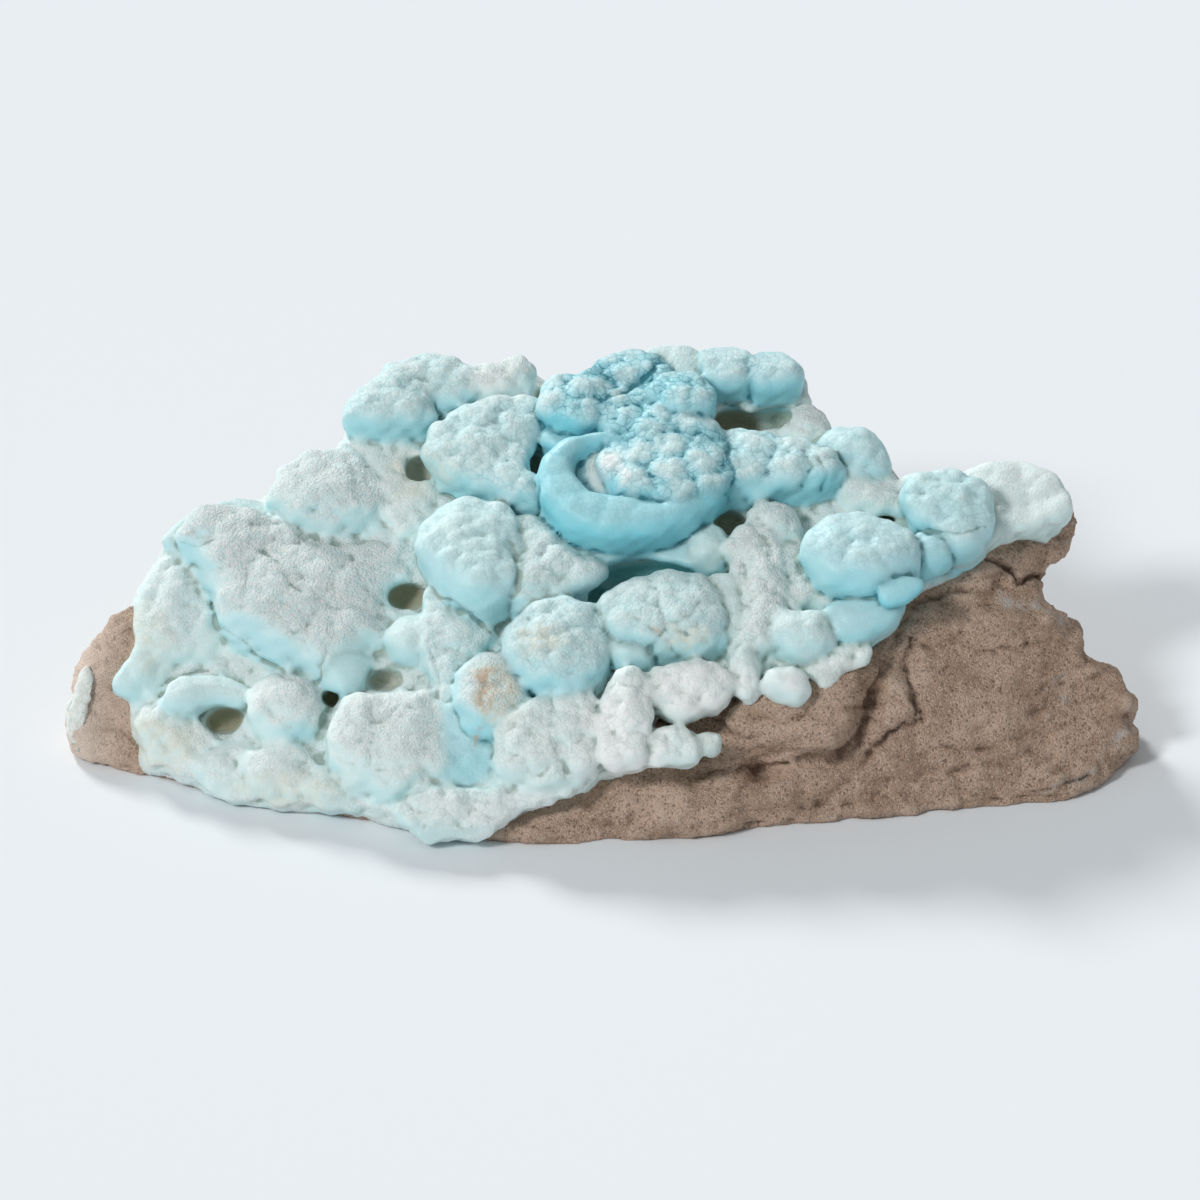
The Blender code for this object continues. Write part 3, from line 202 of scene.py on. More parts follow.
# A lobe is a pillow. Its outline is in pixels and its lean in degrees. In mm, rim is half its thickness, lift
# how far its middle stands above the layer, crown how much its face swells, and melt the width over which it
# runs into its neighbours. corner is the roundness of its edge as a share of rim, 0.6 where it is left out.
# brim and band, in mm, keep beads and frost back from the whole edge and from its lower side; left out, they
# follow from rim. blue is the depth of its colour, frost how white its face is, bead the share of large
# beads on its face, swell how far they stand out, and lump how uneven it is at a larger size.
lobes = {
    "summitPillow": dict(
        outline=[(640, 362), (655, 352), (680, 349), (699, 354), (708, 368), (705, 388), (690, 398),
                 (662, 396), (645, 380)],
        rim=2.6, lift=2.5, lean=45, crown=0.6, melt=0.6,
        blue=0.35, frost=0.45, bead=0.6, swell=0.35, lump=0.2),
    "summitBar": dict(
        outline=[(698, 358), (710, 352), (732, 353), (752, 357), (762, 372), (759, 394), (738, 402),
                 (712, 400), (700, 382)],
        rim=3.2, lift=3.3, lean=40, crown=0.3, melt=0.4,
        blue=0.6, frost=0.45, bead=0.5, swell=0.5, lump=0.15),
    "summitBarEast": dict(
        outline=[(748, 364), (760, 357), (782, 359), (796, 368), (803, 382), (797, 398), (772, 405),
                 (754, 400), (747, 382)],
        rim=3.4, lift=3.8, lean=40, crown=0.4, melt=0.35,
        blue=0.65, frost=0.45, bead=0.5, swell=0.5, lump=0.15),
    "caveLump": dict(
        outline=[(783, 422), (795, 411), (812, 409), (826, 420), (829, 436), (821, 450), (804, 454),
                 (788, 445)],
        rim=2.4, lift=1.2, lean=38, crown=0.6, melt=1.0,
        blue=0.04, frost=0.85, bead=0.2, swell=0.8, lump=0.3),
    "curlPatch": dict(
        outline=[(588, 474), (596, 458), (612, 451), (628, 460), (630, 480), (622, 496), (604, 498),
                 (592, 488)],
        rim=2.0, lift=6, lean=40, crown=0.4, melt=0.8,
        blue=0.05, frost=1, bead=0.2, swell=0.6, lump=0.1),
    "curlPillow": dict(
        outline=[(640, 510), (650, 499), (674, 496), (698, 500), (708, 512), (698, 524), (670, 528),
                 (648, 523)],
        rim=2.4, lift=6.6, lean=36, crown=0.4, melt=0.5,
        blue=0.6, frost=0.25, bead=0.5, swell=0.3, lump=0.0),
    "summitStub": dict(
        outline=[(782, 372), (800, 376), (808, 390), (812, 404), (800, 410), (785, 402)],
        rim=1.6, lift=0.5, lean=25, crown=0.2, corner=0.9, melt=1,
        blue=0.1, frost=0.5, bead=0.2, swell=0.3, lump=0.2),
    "twinWest": dict(
        outline=[(540, 416), (544, 399), (556, 386), (578, 380), (600, 373), (616, 388), (618, 415),
                 (612, 432), (592, 442), (568, 444), (549, 435)],
        rim=3.4, lift=5.0, lean=42, crown=0.9, melt=0.4,
        blue=0.9, frost=0.08, bead=0.7, swell=1, lump=0.2),
    "twinNorth": dict(
        outline=[(588, 380), (606, 366), (632, 357), (655, 359), (672, 374), (674, 396), (655, 408),
                 (628, 410), (600, 402)],
        rim=2.8, lift=4.2, lean=45, crown=0.8, melt=0.5,
        blue=0.9, frost=0.08, bead=0.5, swell=1, lump=0.2),
    "twinEast": dict(
        outline=[(646, 396), (662, 383), (685, 380), (703, 388), (713, 403), (714, 420), (700, 432),
                 (680, 432), (662, 424), (650, 412)],
        rim=3.4, lift=6.4, lean=42, crown=0.8, melt=0.35,
        blue=0.9, frost=0.08, bead=0.5, swell=1, lump=0.2),
    "twinWaist": dict(
        outline=[(598, 408), (625, 392), (660, 400), (684, 425), (686, 452), (660, 470), (625, 462),
                 (603, 440)],
        rim=3.0, lift=5.6, lean=42, crown=0.6, melt=1.2,
        blue=0.9, frost=0.08, bead=0.25, swell=1, lump=0.3),
    "twinFoot": dict(
        outline=[(548, 432), (572, 438), (600, 436), (618, 440), (612, 454), (584, 462), (556, 462),
                 (542, 448)],
        rim=2.4, lift=4, lean=38, crown=0.2, melt=0.6,
        blue=0.75, frost=0.15, bead=0.5, swell=0.3, lump=0.1),
    "knuckle": dict(
        outline=[(672, 432), (682, 421), (700, 421), (714, 432), (722, 448), (716, 462), (698, 462),
                 (682, 454)],
        rim=2.6, lift=6.6, lean=42, crown=0.7, melt=0.8,
        blue=0.9, frost=0.08, bead=0.8, swell=0.9, lump=0.2),
    "curlFloor": dict(
        outline=[(556, 462), (580, 450), (620, 444), (680, 440), (716, 448), (728, 470), (726, 498),
                 (700, 516), (660, 530), (610, 528), (572, 516), (556, 492)],
        rim=2.6, lift=3.4, lean=38, crown=0.2, melt=0.8,
        blue=0.8, frost=0.2, bead=0.3, swell=0.3, lump=0.2),
    "curl": dict(
        outline=[(620, 441), (592, 439), (566, 445), (549, 457), (540, 474), (539, 494), (544, 513),
                 (556, 530), (574, 543), (602, 551), (636, 552), (666, 546), (692, 534), (716, 516),
                 (730, 500), (712, 504), (690, 512), (664, 516), (636, 512), (608, 508), (588, 500),
                 (576, 486), (575, 470), (586, 458), (604, 453), (621, 452)],
        rim=4.0, lift=6.6, lean=38, crown=0.5, melt=0.5,
        blue=0.8, frost=0.12, bead=0.4, swell=0.2, lump=0.1),
    "curlHeap": dict(
        outline=[(600, 470), (606, 454), (622, 444), (640, 430), (676, 428), (710, 438), (730, 456),
                 (738, 480), (730, 500), (708, 512), (676, 520), (646, 514), (620, 506), (604, 490)],
        rim=2.8, lift=6.6, lean=42, crown=0.9, melt=0.8,
        blue=0.9, frost=0.08, bead=0.95, swell=1, lump=0.4),
    "arm": dict(
        outline=[(706, 448), (735, 439), (765, 438), (793, 447), (820, 455), (837, 464), (842, 480),
                 (834, 492), (812, 498), (780, 502), (745, 505), (715, 508), (700, 480)],
        rim=3.2, lift=4.6, lean=42, crown=0.8, melt=0.7,
        blue=0.62, frost=0.18, bead=0.9, swell=0.9, lump=0.2),
    "ear": dict(
        outline=[(815, 452), (824, 438), (840, 430), (860, 428), (877, 437), (886, 453), (890, 474),
                 (884, 490), (862, 494), (838, 484), (822, 470)],
        rim=3.4, lift=2.6, lean=38, crown=0.9, corner=0.9, melt=0.5,
        blue=0.5, frost=0.25, bead=0.3, swell=0.4, lump=0.2),
    "eastSaddle": dict(
        outline=[(838, 480), (870, 474), (897, 486), (925, 482), (930, 512), (905, 528), (870, 524),
                 (842, 512)],
        rim=3.0, lift=0.6, lean=30, crown=0.5, melt=1.5,
        blue=0.12, frost=0.75, bead=0.4, swell=0.7, lump=0.5),
    "eastEnd": dict(
        outline=[(905, 490), (925, 480), (950, 478), (972, 482), (987, 495), (993, 515), (990, 540),
                 (976, 562), (955, 568), (932, 552), (912, 530), (903, 510)],
        rim=4.0, lift=3.2, lean=32, crown=0.8, melt=0.4,
        blue=0.5, frost=0.22, bead=0.8, swell=0.55, lump=0.2),
    "eastMiddle": dict(
        outline=[(906, 545), (918, 535), (936, 535), (950, 548), (950, 566), (936, 578), (916, 580),
                 (904, 566)],
        rim=2.8, lift=4.0, lean=30, crown=0.6, corner=0.9, melt=0.4,
        blue=0.6, frost=0.15, bead=0.6, swell=0.2, lump=0.1),
    "eastDisc": dict(
        outline=[(803, 562), (806, 543), (818, 528), (838, 519), (862, 518), (888, 526), (908, 537),
                 (919, 554), (919, 573), (905, 590), (880, 601), (852, 602), (826, 593), (810, 579)],
        rim=4.0, lift=6.0, lean=40, crown=0.6, band=2.4, corner=0.8, melt=0.35,
        blue=0.55, frost=0.22, bead=0.6, swell=0.5, lump=0.15),
    "eastChip": dict(
        outline=[(876, 588), (890, 579), (912, 577), (922, 585), (914, 598), (900, 607), (882, 606)],
        rim=1.6, lift=7.6, lean=15, crown=0.2, melt=0.3,
        blue=0.75, frost=0.1, bead=0.2, swell=0.1, lump=0.05),
    "eastShelf": dict(
        outline=[(828, 608), (850, 602), (880, 602), (903, 600), (900, 620), (884, 636), (860, 646),
                 (838, 646), (826, 630)],
        rim=3.0, lift=3.0, lean=25, crown=0.6, melt=0.5,
        blue=0.5, frost=0.1, bead=0.3, swell=0.1, lump=0.1),
    "eastPebble": dict(
        outline=[(769, 642), (774, 622), (792, 612), (813, 613), (828, 626), (834, 644), (826, 660),
                 (806, 666), (784, 661)],
        rim=3.2, lift=3.4, lean=28, crown=0.7, corner=0.9, melt=0.8,
        blue=0.3, frost=0.5, bead=0.3, swell=0.45, lump=0.2),
    "whiteNub": dict(
        outline=[(762, 684), (772, 669), (792, 668), (806, 678), (809, 694), (797, 707), (779, 704),
                 (766, 695)],
        rim=3.0, lift=2.6, lean=12, crown=0.5, corner=0.9, melt=0.8,
        blue=0.1, frost=0.1, bead=0.2, swell=0.35, lump=0.1),
    "eastFringe": dict(
        outline=[(806, 660), (832, 648), (866, 648), (865, 664), (846, 668), (838, 680), (824, 690),
                 (812, 680)],
        rim=1.5, lift=1.0, lean=12, crown=0.1, melt=0.7,
        blue=0, frost=0.4, bead=0.1, swell=0.9, lump=0.65),
    "paleMound": dict(
        outline=[(727, 548), (748, 534), (772, 540), (784, 566), (786, 600), (780, 636), (766, 660),
                 (742, 664), (730, 646), (740, 614), (732, 582)],
        rim=2.6, lift=2.8, lean=30, crown=0.9, melt=1.2,
        blue=0.1, frost=0.85, bead=0.35, swell=1, lump=0.8),
    "paleCap": dict(
        outline=[(746, 522), (758, 510), (776, 507), (792, 514), (800, 532), (794, 550), (774, 556),
                 (752, 544)],
        rim=2.6, lift=3.0, lean=34, crown=0.8, corner=0.8, melt=0.8,
        blue=0.15, frost=0.8, bead=0.3, swell=0.7, lump=0.3),
    "apronBulge": dict(
        outline=[(686, 552), (694, 534), (714, 527), (726, 540), (728, 560), (716, 576), (698, 576),
                 (688, 566)],
        rim=2.4, lift=2.8, lean=32, crown=0.6, corner=0.9, melt=1,
        blue=0.3, frost=0.2, bead=0.5, swell=0.3, lump=0.2),
    "paleColumn": dict(
        outline=[(780, 556), (800, 544), (808, 572), (828, 598), (834, 620), (812, 614), (792, 622),
                 (784, 600)],
        rim=2.4, lift=1.8, lean=30, crown=0.5, melt=0.8,
        blue=0.08, frost=0.85, bead=0.3, swell=0.9, lump=0.6),
    "hornPatch": dict(
        outline=[(962, 486), (985, 468), (1010, 462), (1040, 470), (1062, 486), (1073, 512), (1058, 528),
                 (1028, 536), (1000, 544), (978, 556), (960, 530)],
        rim=2.0, lift=0.6, lean=34, crown=0.2, melt=1.0,
        blue=0.1, frost=0.5, bead=0.1, swell=0.25, lump=0.6),
    "fan": dict(
        outline=[(600, 614), (612, 598), (634, 584), (662, 577), (690, 577), (709, 587), (722, 606),
                 (727, 632), (722, 652), (700, 663), (668, 664), (648, 660), (624, 655), (607, 640)],
        rim=3.6, lift=4.4, lean=34, crown=1.2, corner=0.75, melt=0.4,
        blue=0.45, frost=0.5, bead=0.7, swell=0.6, lump=0.2),
    "fanToe": dict(
        outline=[(608, 650), (620, 640), (640, 640), (652, 650), (652, 664), (638, 672), (618, 672)],
        rim=2.2, lift=5.0, lean=25, crown=0.4, corner=0.9, melt=0.4,
        blue=0.4, frost=0.2, bead=0.3, swell=0.2, lump=0.1),
    "fanSide": dict(
        outline=[(706, 586), (718, 577), (733, 584), (741, 605), (741, 628), (732, 642), (722, 634),
                 (716, 608)],
        rim=1.9, lift=4.0, lean=32, crown=0.3, melt=0.4,
        blue=0.25, frost=0.5, bead=0.3, swell=0.3, lump=0.1),
    "apron": dict(
        outline=[(560, 548), (600, 552), (650, 552), (690, 536), (715, 527), (730, 548), (722, 574),
                 (700, 574), (668, 566), (640, 560), (616, 564), (600, 574), (580, 566)],
        rim=1.2, lift=3.6, lean=40, crown=0.1, melt=0.4,
        blue=0.5, frost=0.1, bead=0.3, swell=0.1, lump=0.1),
    "disc": dict(
        outline=[(418, 556), (422, 537), (434, 520), (453, 508), (478, 505), (503, 510), (518, 525),
                 (526, 548), (526, 580), (516, 606), (495, 620), (468, 616), (446, 601), (428, 580)],
        rim=4.4, lift=5.6, lean=40, crown=0.7, band=2.6, corner=0.75, melt=0.35,
        blue=0.42, frost=0.28, bead=0.5, swell=0.55, lump=0.1),
    "discBoss": dict(
        outline=[(436, 556), (446, 536), (466, 524), (492, 526), (512, 538), (520, 556), (512, 576),
                 (490, 588), (462, 586), (444, 574)],
        rim=2.4, lift=6.6, lean=44, crown=0.5, melt=0.9,
        blue=0.5, frost=0.3, bead=0.8, swell=0.8, lump=0.2),
    "discShoulder": dict(
        outline=[(500, 530), (525, 522), (550, 532), (576, 556), (598, 566), (607, 580), (598, 594),
                 (575, 604), (545, 612), (515, 616), (500, 590)],
        rim=3.0, lift=3.8, lean=38, crown=0.7, melt=0.5,
        blue=0.35, frost=0.6, bead=1, swell=0.8, lump=0.3),
    "middleNorth": dict(
        outline=[(424, 458), (428, 440), (442, 424), (462, 410), (490, 401), (520, 400), (543, 408),
                 (550, 428), (536, 450), (528, 475), (545, 492), (547, 515), (530, 519), (500, 510),
                 (470, 498), (446, 486), (430, 474)],
        rim=3.0, lift=4.2, lean=38, crown=0.8, corner=0.8, melt=0.5,
        blue=0.52, frost=0.4, bead=0.6, swell=0.7, lump=0.4),
    "northWest": dict(
        outline=[(343, 428), (350, 406), (361, 390), (378, 377), (398, 370), (418, 384), (428, 404),
                 (436, 424), (424, 438), (400, 443), (372, 442), (350, 438)],
        rim=3.6, lift=4.0, lean=40, crown=0.7, corner=0.85, melt=0.9,
        blue=0.5, frost=0.5, bead=0.5, swell=0.6, lump=0.3),
    "north": dict(
        outline=[(384, 374), (404, 363), (432, 359), (456, 364), (471, 376), (478, 394), (468, 412),
                 (440, 416), (412, 404)],
        rim=2.8, lift=2.2, lean=42, crown=0.8, melt=1.6,
        blue=0.45, frost=0.5, bead=0.6, swell=0.6, lump=0.3),
    "northPale": dict(
        outline=[(462, 376), (488, 371), (514, 362), (526, 366), (534, 380), (528, 395), (506, 404),
                 (478, 404), (464, 392)],
        rim=2.4, lift=1.4, lean=40, crown=0.5, melt=1.2,
        blue=0.1, frost=0.7, bead=0.3, swell=0.8, lump=0.5),
    "westMound": dict(
        outline=[(266, 505), (276, 480), (293, 462), (318, 454), (345, 456), (368, 470), (384, 495),
                 (386, 522), (366, 542), (325, 546), (288, 536)],
        rim=3.8, lift=2.2, lean=32, crown=1.3, corner=0.9, melt=2,
        blue=0.3, frost=0.9, bead=0.5, swell=0.34, lump=0.9),
    "westTable": dict(
        outline=[(176, 545), (184, 522), (210, 508), (246, 512), (290, 526), (340, 542), (390, 546),
                 (420, 556), (414, 590), (392, 620), (386, 652), (366, 668), (330, 690), (300, 680),
                 (262, 660), (222, 634), (212, 604), (194, 570)],
        rim=4.0, lift=1.6, lean=30, crown=1.4, band=3.0, corner=0.9, melt=1.6,
        blue=0.36, frost=1, bead=0.5, swell=0.3, lump=0.9),
    "westTableToe": dict(
        outline=[(318, 672), (324, 654), (342, 648), (362, 654), (371, 670), (366, 690), (344, 700),
                 (326, 692)],
        rim=2.4, lift=2.6, lean=30, crown=0.5, corner=0.9, melt=0.5,
        blue=0.4, frost=0.2, bead=0.4, swell=0.1, lump=0),
    "westTableRim": dict(
        outline=[(268, 652), (280, 640), (302, 642), (322, 654), (320, 674), (300, 678), (278, 668)],
        rim=2.0, lift=2.4, lean=30, crown=0.5, corner=0.9, melt=0.5,
        blue=0.38, frost=0.2, bead=0.4, swell=0.1, lump=0),
    "westBrow": dict(
        outline=[(160, 548), (172, 530), (192, 515), (222, 504), (256, 502), (276, 512), (262, 528),
                 (226, 530), (196, 545), (178, 562)],
        rim=2.2, lift=1.4, lean=30, crown=0.4, melt=0.5,
        blue=0.4, frost=0.5, bead=0.4, swell=0.2, lump=0.2),
    "westFlank": dict(
        outline=[(136, 612), (152, 572), (176, 556), (204, 584), (214, 620), (208, 660), (170, 672),
                 (138, 655)],
        rim=3.0, lift=1.0, lean=22, crown=0.8, melt=1.5,
        blue=0.2, frost=0.6, bead=0.4, swell=0.4, lump=0.6),
    "westBump": dict(
        outline=[(186, 650), (192, 632), (210, 626), (226, 640), (224, 660), (206, 668)],
        rim=2.2, lift=1.2, lean=22, crown=0.4, corner=0.9, melt=1.6,
        blue=0.2, frost=0.4, bead=0.3, swell=0.1, lump=0.1),
    "westCheek": dict(
        outline=[(113, 690), (124, 664), (140, 652), (158, 662), (166, 682), (154, 700), (132, 704)],
        rim=2.4, lift=1.6, lean=15, crown=0.6, melt=1.6,
        blue=0.3, frost=0.2, bead=0.4, swell=0.2, lump=0.2),
    "westLip": dict(
        outline=[(162, 702), (172, 684), (192, 676), (216, 679), (238, 685), (248, 698), (241, 712),
                 (216, 709), (190, 716), (170, 713)],
        rim=2.2, lift=3.6, lean=28, crown=0.5, melt=0.5,
        blue=0.3, frost=0.45, bead=0.4, swell=0.15, lump=0.1),
    "westKnob": dict(
        outline=[(250, 712), (256, 688), (276, 677), (302, 681), (322, 698), (327, 722), (318, 744),
                 (294, 750), (266, 742)],
        rim=3.4, lift=2.4, lean=25, crown=0.9, corner=0.9, melt=1.8,
        blue=0.15, frost=0.8, bead=0.5, swell=0.3, lump=0.5),
    "riverHead": dict(
        outline=[(386, 644), (392, 626), (408, 617), (426, 621), (434, 636), (430, 656), (414, 668),
                 (396, 664)],
        rim=2.6, lift=2.4, lean=30, crown=0.6, corner=0.9, melt=0.8,
        blue=0.32, frost=0.4, bead=0.3, swell=0.2, lump=0.1),
    "river": dict(
        outline=[(424, 600), (442, 590), (468, 614), (496, 640), (480, 664), (462, 688), (462, 716),
                 (446, 722), (436, 700), (424, 650)],
        rim=2.4, lift=1.8, lean=24, crown=0.6, melt=1.4,
        blue=0.35, frost=0.65, bead=0.5, swell=0.55, lump=0.5),
    "riverFoot": dict(
        outline=[(444, 716), (458, 700), (470, 722), (496, 742), (504, 766), (486, 788), (456, 794),
                 (438, 776), (438, 740)],
        rim=2.2, lift=1.2, lean=18, crown=0.3, melt=1.6,
        blue=0.55, frost=0.15, bead=0.4, swell=0.15, lump=0.3),
    "frontEast": dict(
        outline=[(506, 640), (518, 622), (538, 609), (562, 603), (586, 607), (602, 620), (610, 642),
                 (608, 668), (600, 690), (578, 704), (548, 704), (522, 690), (506, 664)],
        rim=4.2, lift=5.2, lean=30, crown=1.0, corner=0.75, melt=0.8,
        blue=0.5, frost=0.5, bead=0.6, swell=0.5, lump=0.3),
    "frontWest": dict(
        outline=[(456, 702), (458, 680), (470, 662), (492, 652), (514, 654), (532, 672), (536, 698),
                 (524, 724), (500, 740), (476, 738), (462, 722)],
        rim=3.2, lift=4.2, lean=24, crown=0.8, brim=0.9, band=1.6, corner=0.8, melt=0.7,
        blue=0.5, frost=0.95, bead=0.4, swell=0.4, lump=0.3),
    "frontRoot": dict(
        outline=[(498, 736), (520, 712), (556, 702), (592, 700), (602, 735), (592, 776), (560, 790),
                 (524, 788), (500, 772)],
        rim=2.6, lift=3.4, lean=14, crown=0.7, melt=1.6,
        blue=0.08, frost=0.6, bead=0.35, swell=1, lump=0.5),
    "whiteRoot": dict(
        outline=[(603, 702), (612, 682), (630, 672), (647, 682), (652, 706), (650, 738), (644, 764),
                 (622, 774), (604, 762), (598, 730)],
        rim=2.8, lift=3.8, lean=12, crown=0.6, melt=0.8,
        blue=0, frost=0.4, bead=0.3, swell=1, lump=0.5),
    "whiteBrow": dict(
        outline=[(648, 694), (658, 672), (688, 665), (716, 668), (732, 682), (728, 700), (710, 714),
                 (682, 722), (658, 714)],
        rim=2.6, lift=3.0, lean=14, crown=0.6, melt=0.8,
        blue=0, frost=0.4, bead=0.3, swell=0.9, lump=0.4),
    "whiteFinger": dict(
        outline=[(728, 664), (740, 648), (754, 660), (758, 682), (756, 698), (744, 704), (732, 690)],
        rim=2.0, lift=2.8, lean=14, crown=0.3, melt=0.7,
        blue=0.05, frost=0.3, bead=0.15, swell=0.7, lump=0.5),
    "whiteKnobs": dict(
        outline=[(646, 750), (654, 731), (676, 728), (694, 738), (700, 752), (690, 767), (668, 766),
                 (650, 764)],
        rim=2.0, lift=1.8, lean=10, crown=0.4, melt=0.7,
        blue=0, frost=0.4, bead=0.25, swell=1, lump=0.3),
    "whiteBead": dict(
        outline=[(694, 744), (704, 733), (718, 736), (719, 750), (708, 757)],
        rim=1.4, lift=1.4, lean=10, crown=0.2, corner=0.9, melt=0.5,
        blue=0, frost=0.3, bead=0.1, swell=0.8, lump=0.1),
    "westToe": dict(
        outline=[(136, 722), (150, 706), (176, 710), (200, 728), (206, 752), (190, 770), (164, 764),
                 (144, 748)],
        rim=2.2, lift=0.8, lean=12, crown=0.7, melt=2.4,
        blue=0.1, frost=0.6, bead=0.5, swell=0.6, lump=0.5),
    "southWest": dict(
        outline=[(198, 774), (214, 752), (238, 748), (256, 766), (258, 790), (240, 803), (214, 794)],
        rim=2.2, lift=0.8, lean=12, crown=0.6, melt=2.4,
        blue=0.12, frost=0.6, bead=0.4, swell=0.5, lump=0.5),
    "southToe": dict(
        outline=[(304, 798), (316, 776), (340, 776), (360, 794), (356, 811), (326, 810)],
        rim=2.0, lift=1.0, lean=12, crown=0.5, melt=2.2,
        blue=0.12, frost=0.6, bead=0.4, swell=0.5, lump=0.5),
    "wallWest": dict(
        outline=[(344, 452), (372, 444), (404, 446), (428, 470), (434, 500), (420, 540), (396, 548),
                 (384, 520), (376, 485)],
        rim=2.6, lift=0.8, lean=34, crown=0.5, melt=2.5,
        blue=0.1, frost=0.6, bead=0.6, swell=0.4, lump=0.7),
    "southMound": dict(
        outline=[(330, 742), (338, 712), (358, 696), (392, 698), (424, 690), (446, 712), (456, 744),
                 (456, 780), (430, 800), (392, 806), (354, 792), (336, 770)],
        rim=3.6, lift=2.2, lean=20, crown=1.1, corner=0.9, melt=2,
        blue=0.15, frost=0.85, bead=0.6, swell=0.34, lump=0.9),
    "southHump": dict(
        outline=[(244, 776), (256, 754), (284, 746), (308, 756), (316, 778), (300, 800), (268, 802)],
        rim=2.4, lift=1.2, lean=15, crown=0.6, melt=2.2,
        blue=0.12, frost=0.7, bead=0.4, swell=0.4, lump=0.5),
    "southSkirt": dict(
        outline=[(400, 806), (440, 790), (490, 790), (540, 776), (586, 770), (588, 786), (556, 800),
                 (516, 816), (486, 834), (444, 840), (408, 826)],
        rim=1.8, lift=1.2, lean=10, crown=0.3, melt=1.5,
        blue=0.12, frost=0.5, bead=0.3, swell=0.9, lump=0.6),
}

# Creases across the lobes, in pixels; width and depth are mm. They are cut in, and darkened with painted
# shade.
crustLines = {
    "tableFoot": dict(line=[(195, 590), (212, 606), (216, 625), (241, 640), (254, 652), (276, 667),
                            (298, 682), (326, 700)],
                      width=0.7, depth=0.22),
    "tableHeart": dict(line=[(262, 548), (279, 563), (290, 582), (300, 590)], width=0.8, depth=0.33),
    "tableNorth": dict(line=[(250, 524), (284, 527), (314, 538), (346, 544), (388, 545)],
                       width=0.9, depth=0.28),
    "tableWest": dict(line=[(176, 541), (196, 545), (216, 539)], width=0.6, depth=0.22),
    "tableEast": dict(line=[(352, 556), (360, 580), (384, 604)], width=0.8, depth=0.22),
    "toeSide": dict(line=[(326, 650), (319, 664), (320, 682)], width=0.6, depth=0.33),
    "lipNorth": dict(line=[(160, 684), (176, 674), (208, 671)], width=0.7, depth=0.33),
    "knobEast": dict(line=[(336, 693), (326, 722), (314, 750), (330, 772), (344, 796)],
                     width=1, depth=0.25),
    "riverHead": dict(line=[(430, 588), (450, 605), (474, 618), (492, 632)], width=0.8, depth=0.39),
    "riverSide": dict(line=[(428, 640), (436, 668), (440, 700)], width=0.7, depth=0.28),
    "twinSplit": dict(line=[(655, 364), (640, 378), (626, 392), (606, 398)], width=0.8, depth=0.4),
    "armRoot": dict(line=[(728, 446), (731, 462), (735, 480), (728, 496)], width=0.7, depth=0.3),
    "armRidge": dict(line=[(803, 450), (811, 466), (804, 486)], width=0.8, depth=0.33),
    "armRidgeEast": dict(line=[(820, 456), (828, 472), (820, 490)], width=0.8, depth=0.28),
    "fanHeart": dict(line=[(648, 654), (656, 640), (664, 628), (690, 616), (700, 604)],
                     width=0.9, depth=0.28),
    "fanWest": dict(line=[(656, 636), (642, 622), (626, 612)], width=0.8, depth=0.22),
    "fanNorth": dict(line=[(662, 628), (662, 606), (656, 590)], width=0.8, depth=0.2),
    "fanEast": dict(line=[(666, 630), (686, 632), (706, 640)], width=0.8, depth=0.2),
    "fanSouth": dict(line=[(660, 634), (672, 646), (680, 658)], width=0.8, depth=0.2),
    "discStep": dict(line=[(508, 540), (518, 556), (520, 578), (512, 596)], width=0.8, depth=0.35),
    "endSplit": dict(line=[(914, 536), (936, 530), (962, 532), (986, 526)], width=0.7, depth=0.3),
}

# Patches of colour: middle and half sizes in pixels, and how strong each colour is there.
patches = {
    "frontCream": dict(middle=(494, 694), half=(26, 36), cream=0.7),
    "frontRust": dict(middle=(486, 694), half=(9, 26), rust=0.6),
    "frontRustWest": dict(middle=(474, 735), half=(7, 9), rust=0.7),
    "eastCream": dict(middle=(542, 636), half=(32, 22), cream=0.5),
    "fanRust": dict(middle=(660, 630), half=(14, 12), rust=0.5),
    "fanCream": dict(middle=(680, 638), half=(34, 22), cream=0.5),
    "curlWhite": dict(middle=(608, 474), half=(22, 24), white=0.8),
    "knobBlue": dict(middle=(294, 730), half=(26, 14), blue=0.22),
    "knobVein": dict(middle=(326, 770), half=(14, 30), blue=0.16),
    "riverBlue": dict(middle=(472, 768), half=(34, 28), blue=0.12),
    "summitBlue": dict(middle=(566, 420), half=(30, 24), blue=0.1),
    "westOlive": dict(middle=(160, 740), half=(50, 34), cream=0.45),
    "southOlive": dict(middle=(290, 790), half=(70, 24), cream=0.35),
    "northOlive": dict(middle=(420, 474), half=(40, 34), cream=0.4),
    "flankOlive": dict(middle=(150, 640), half=(30, 46), cream=0.3),
    "northWhite": dict(middle=(500, 384), half=(36, 20), white=0.6),
    "frontWhite": dict(middle=(620, 735), half=(60, 60), white=0.9),
    "browWhite": dict(middle=(704, 690), half=(70, 34), white=0.9),
    "fringeWhite": dict(middle=(820, 680), half=(60, 26), white=0.8),
    "skirtWhite": dict(middle=(500, 810), half=(90, 24), white=0.6),
}
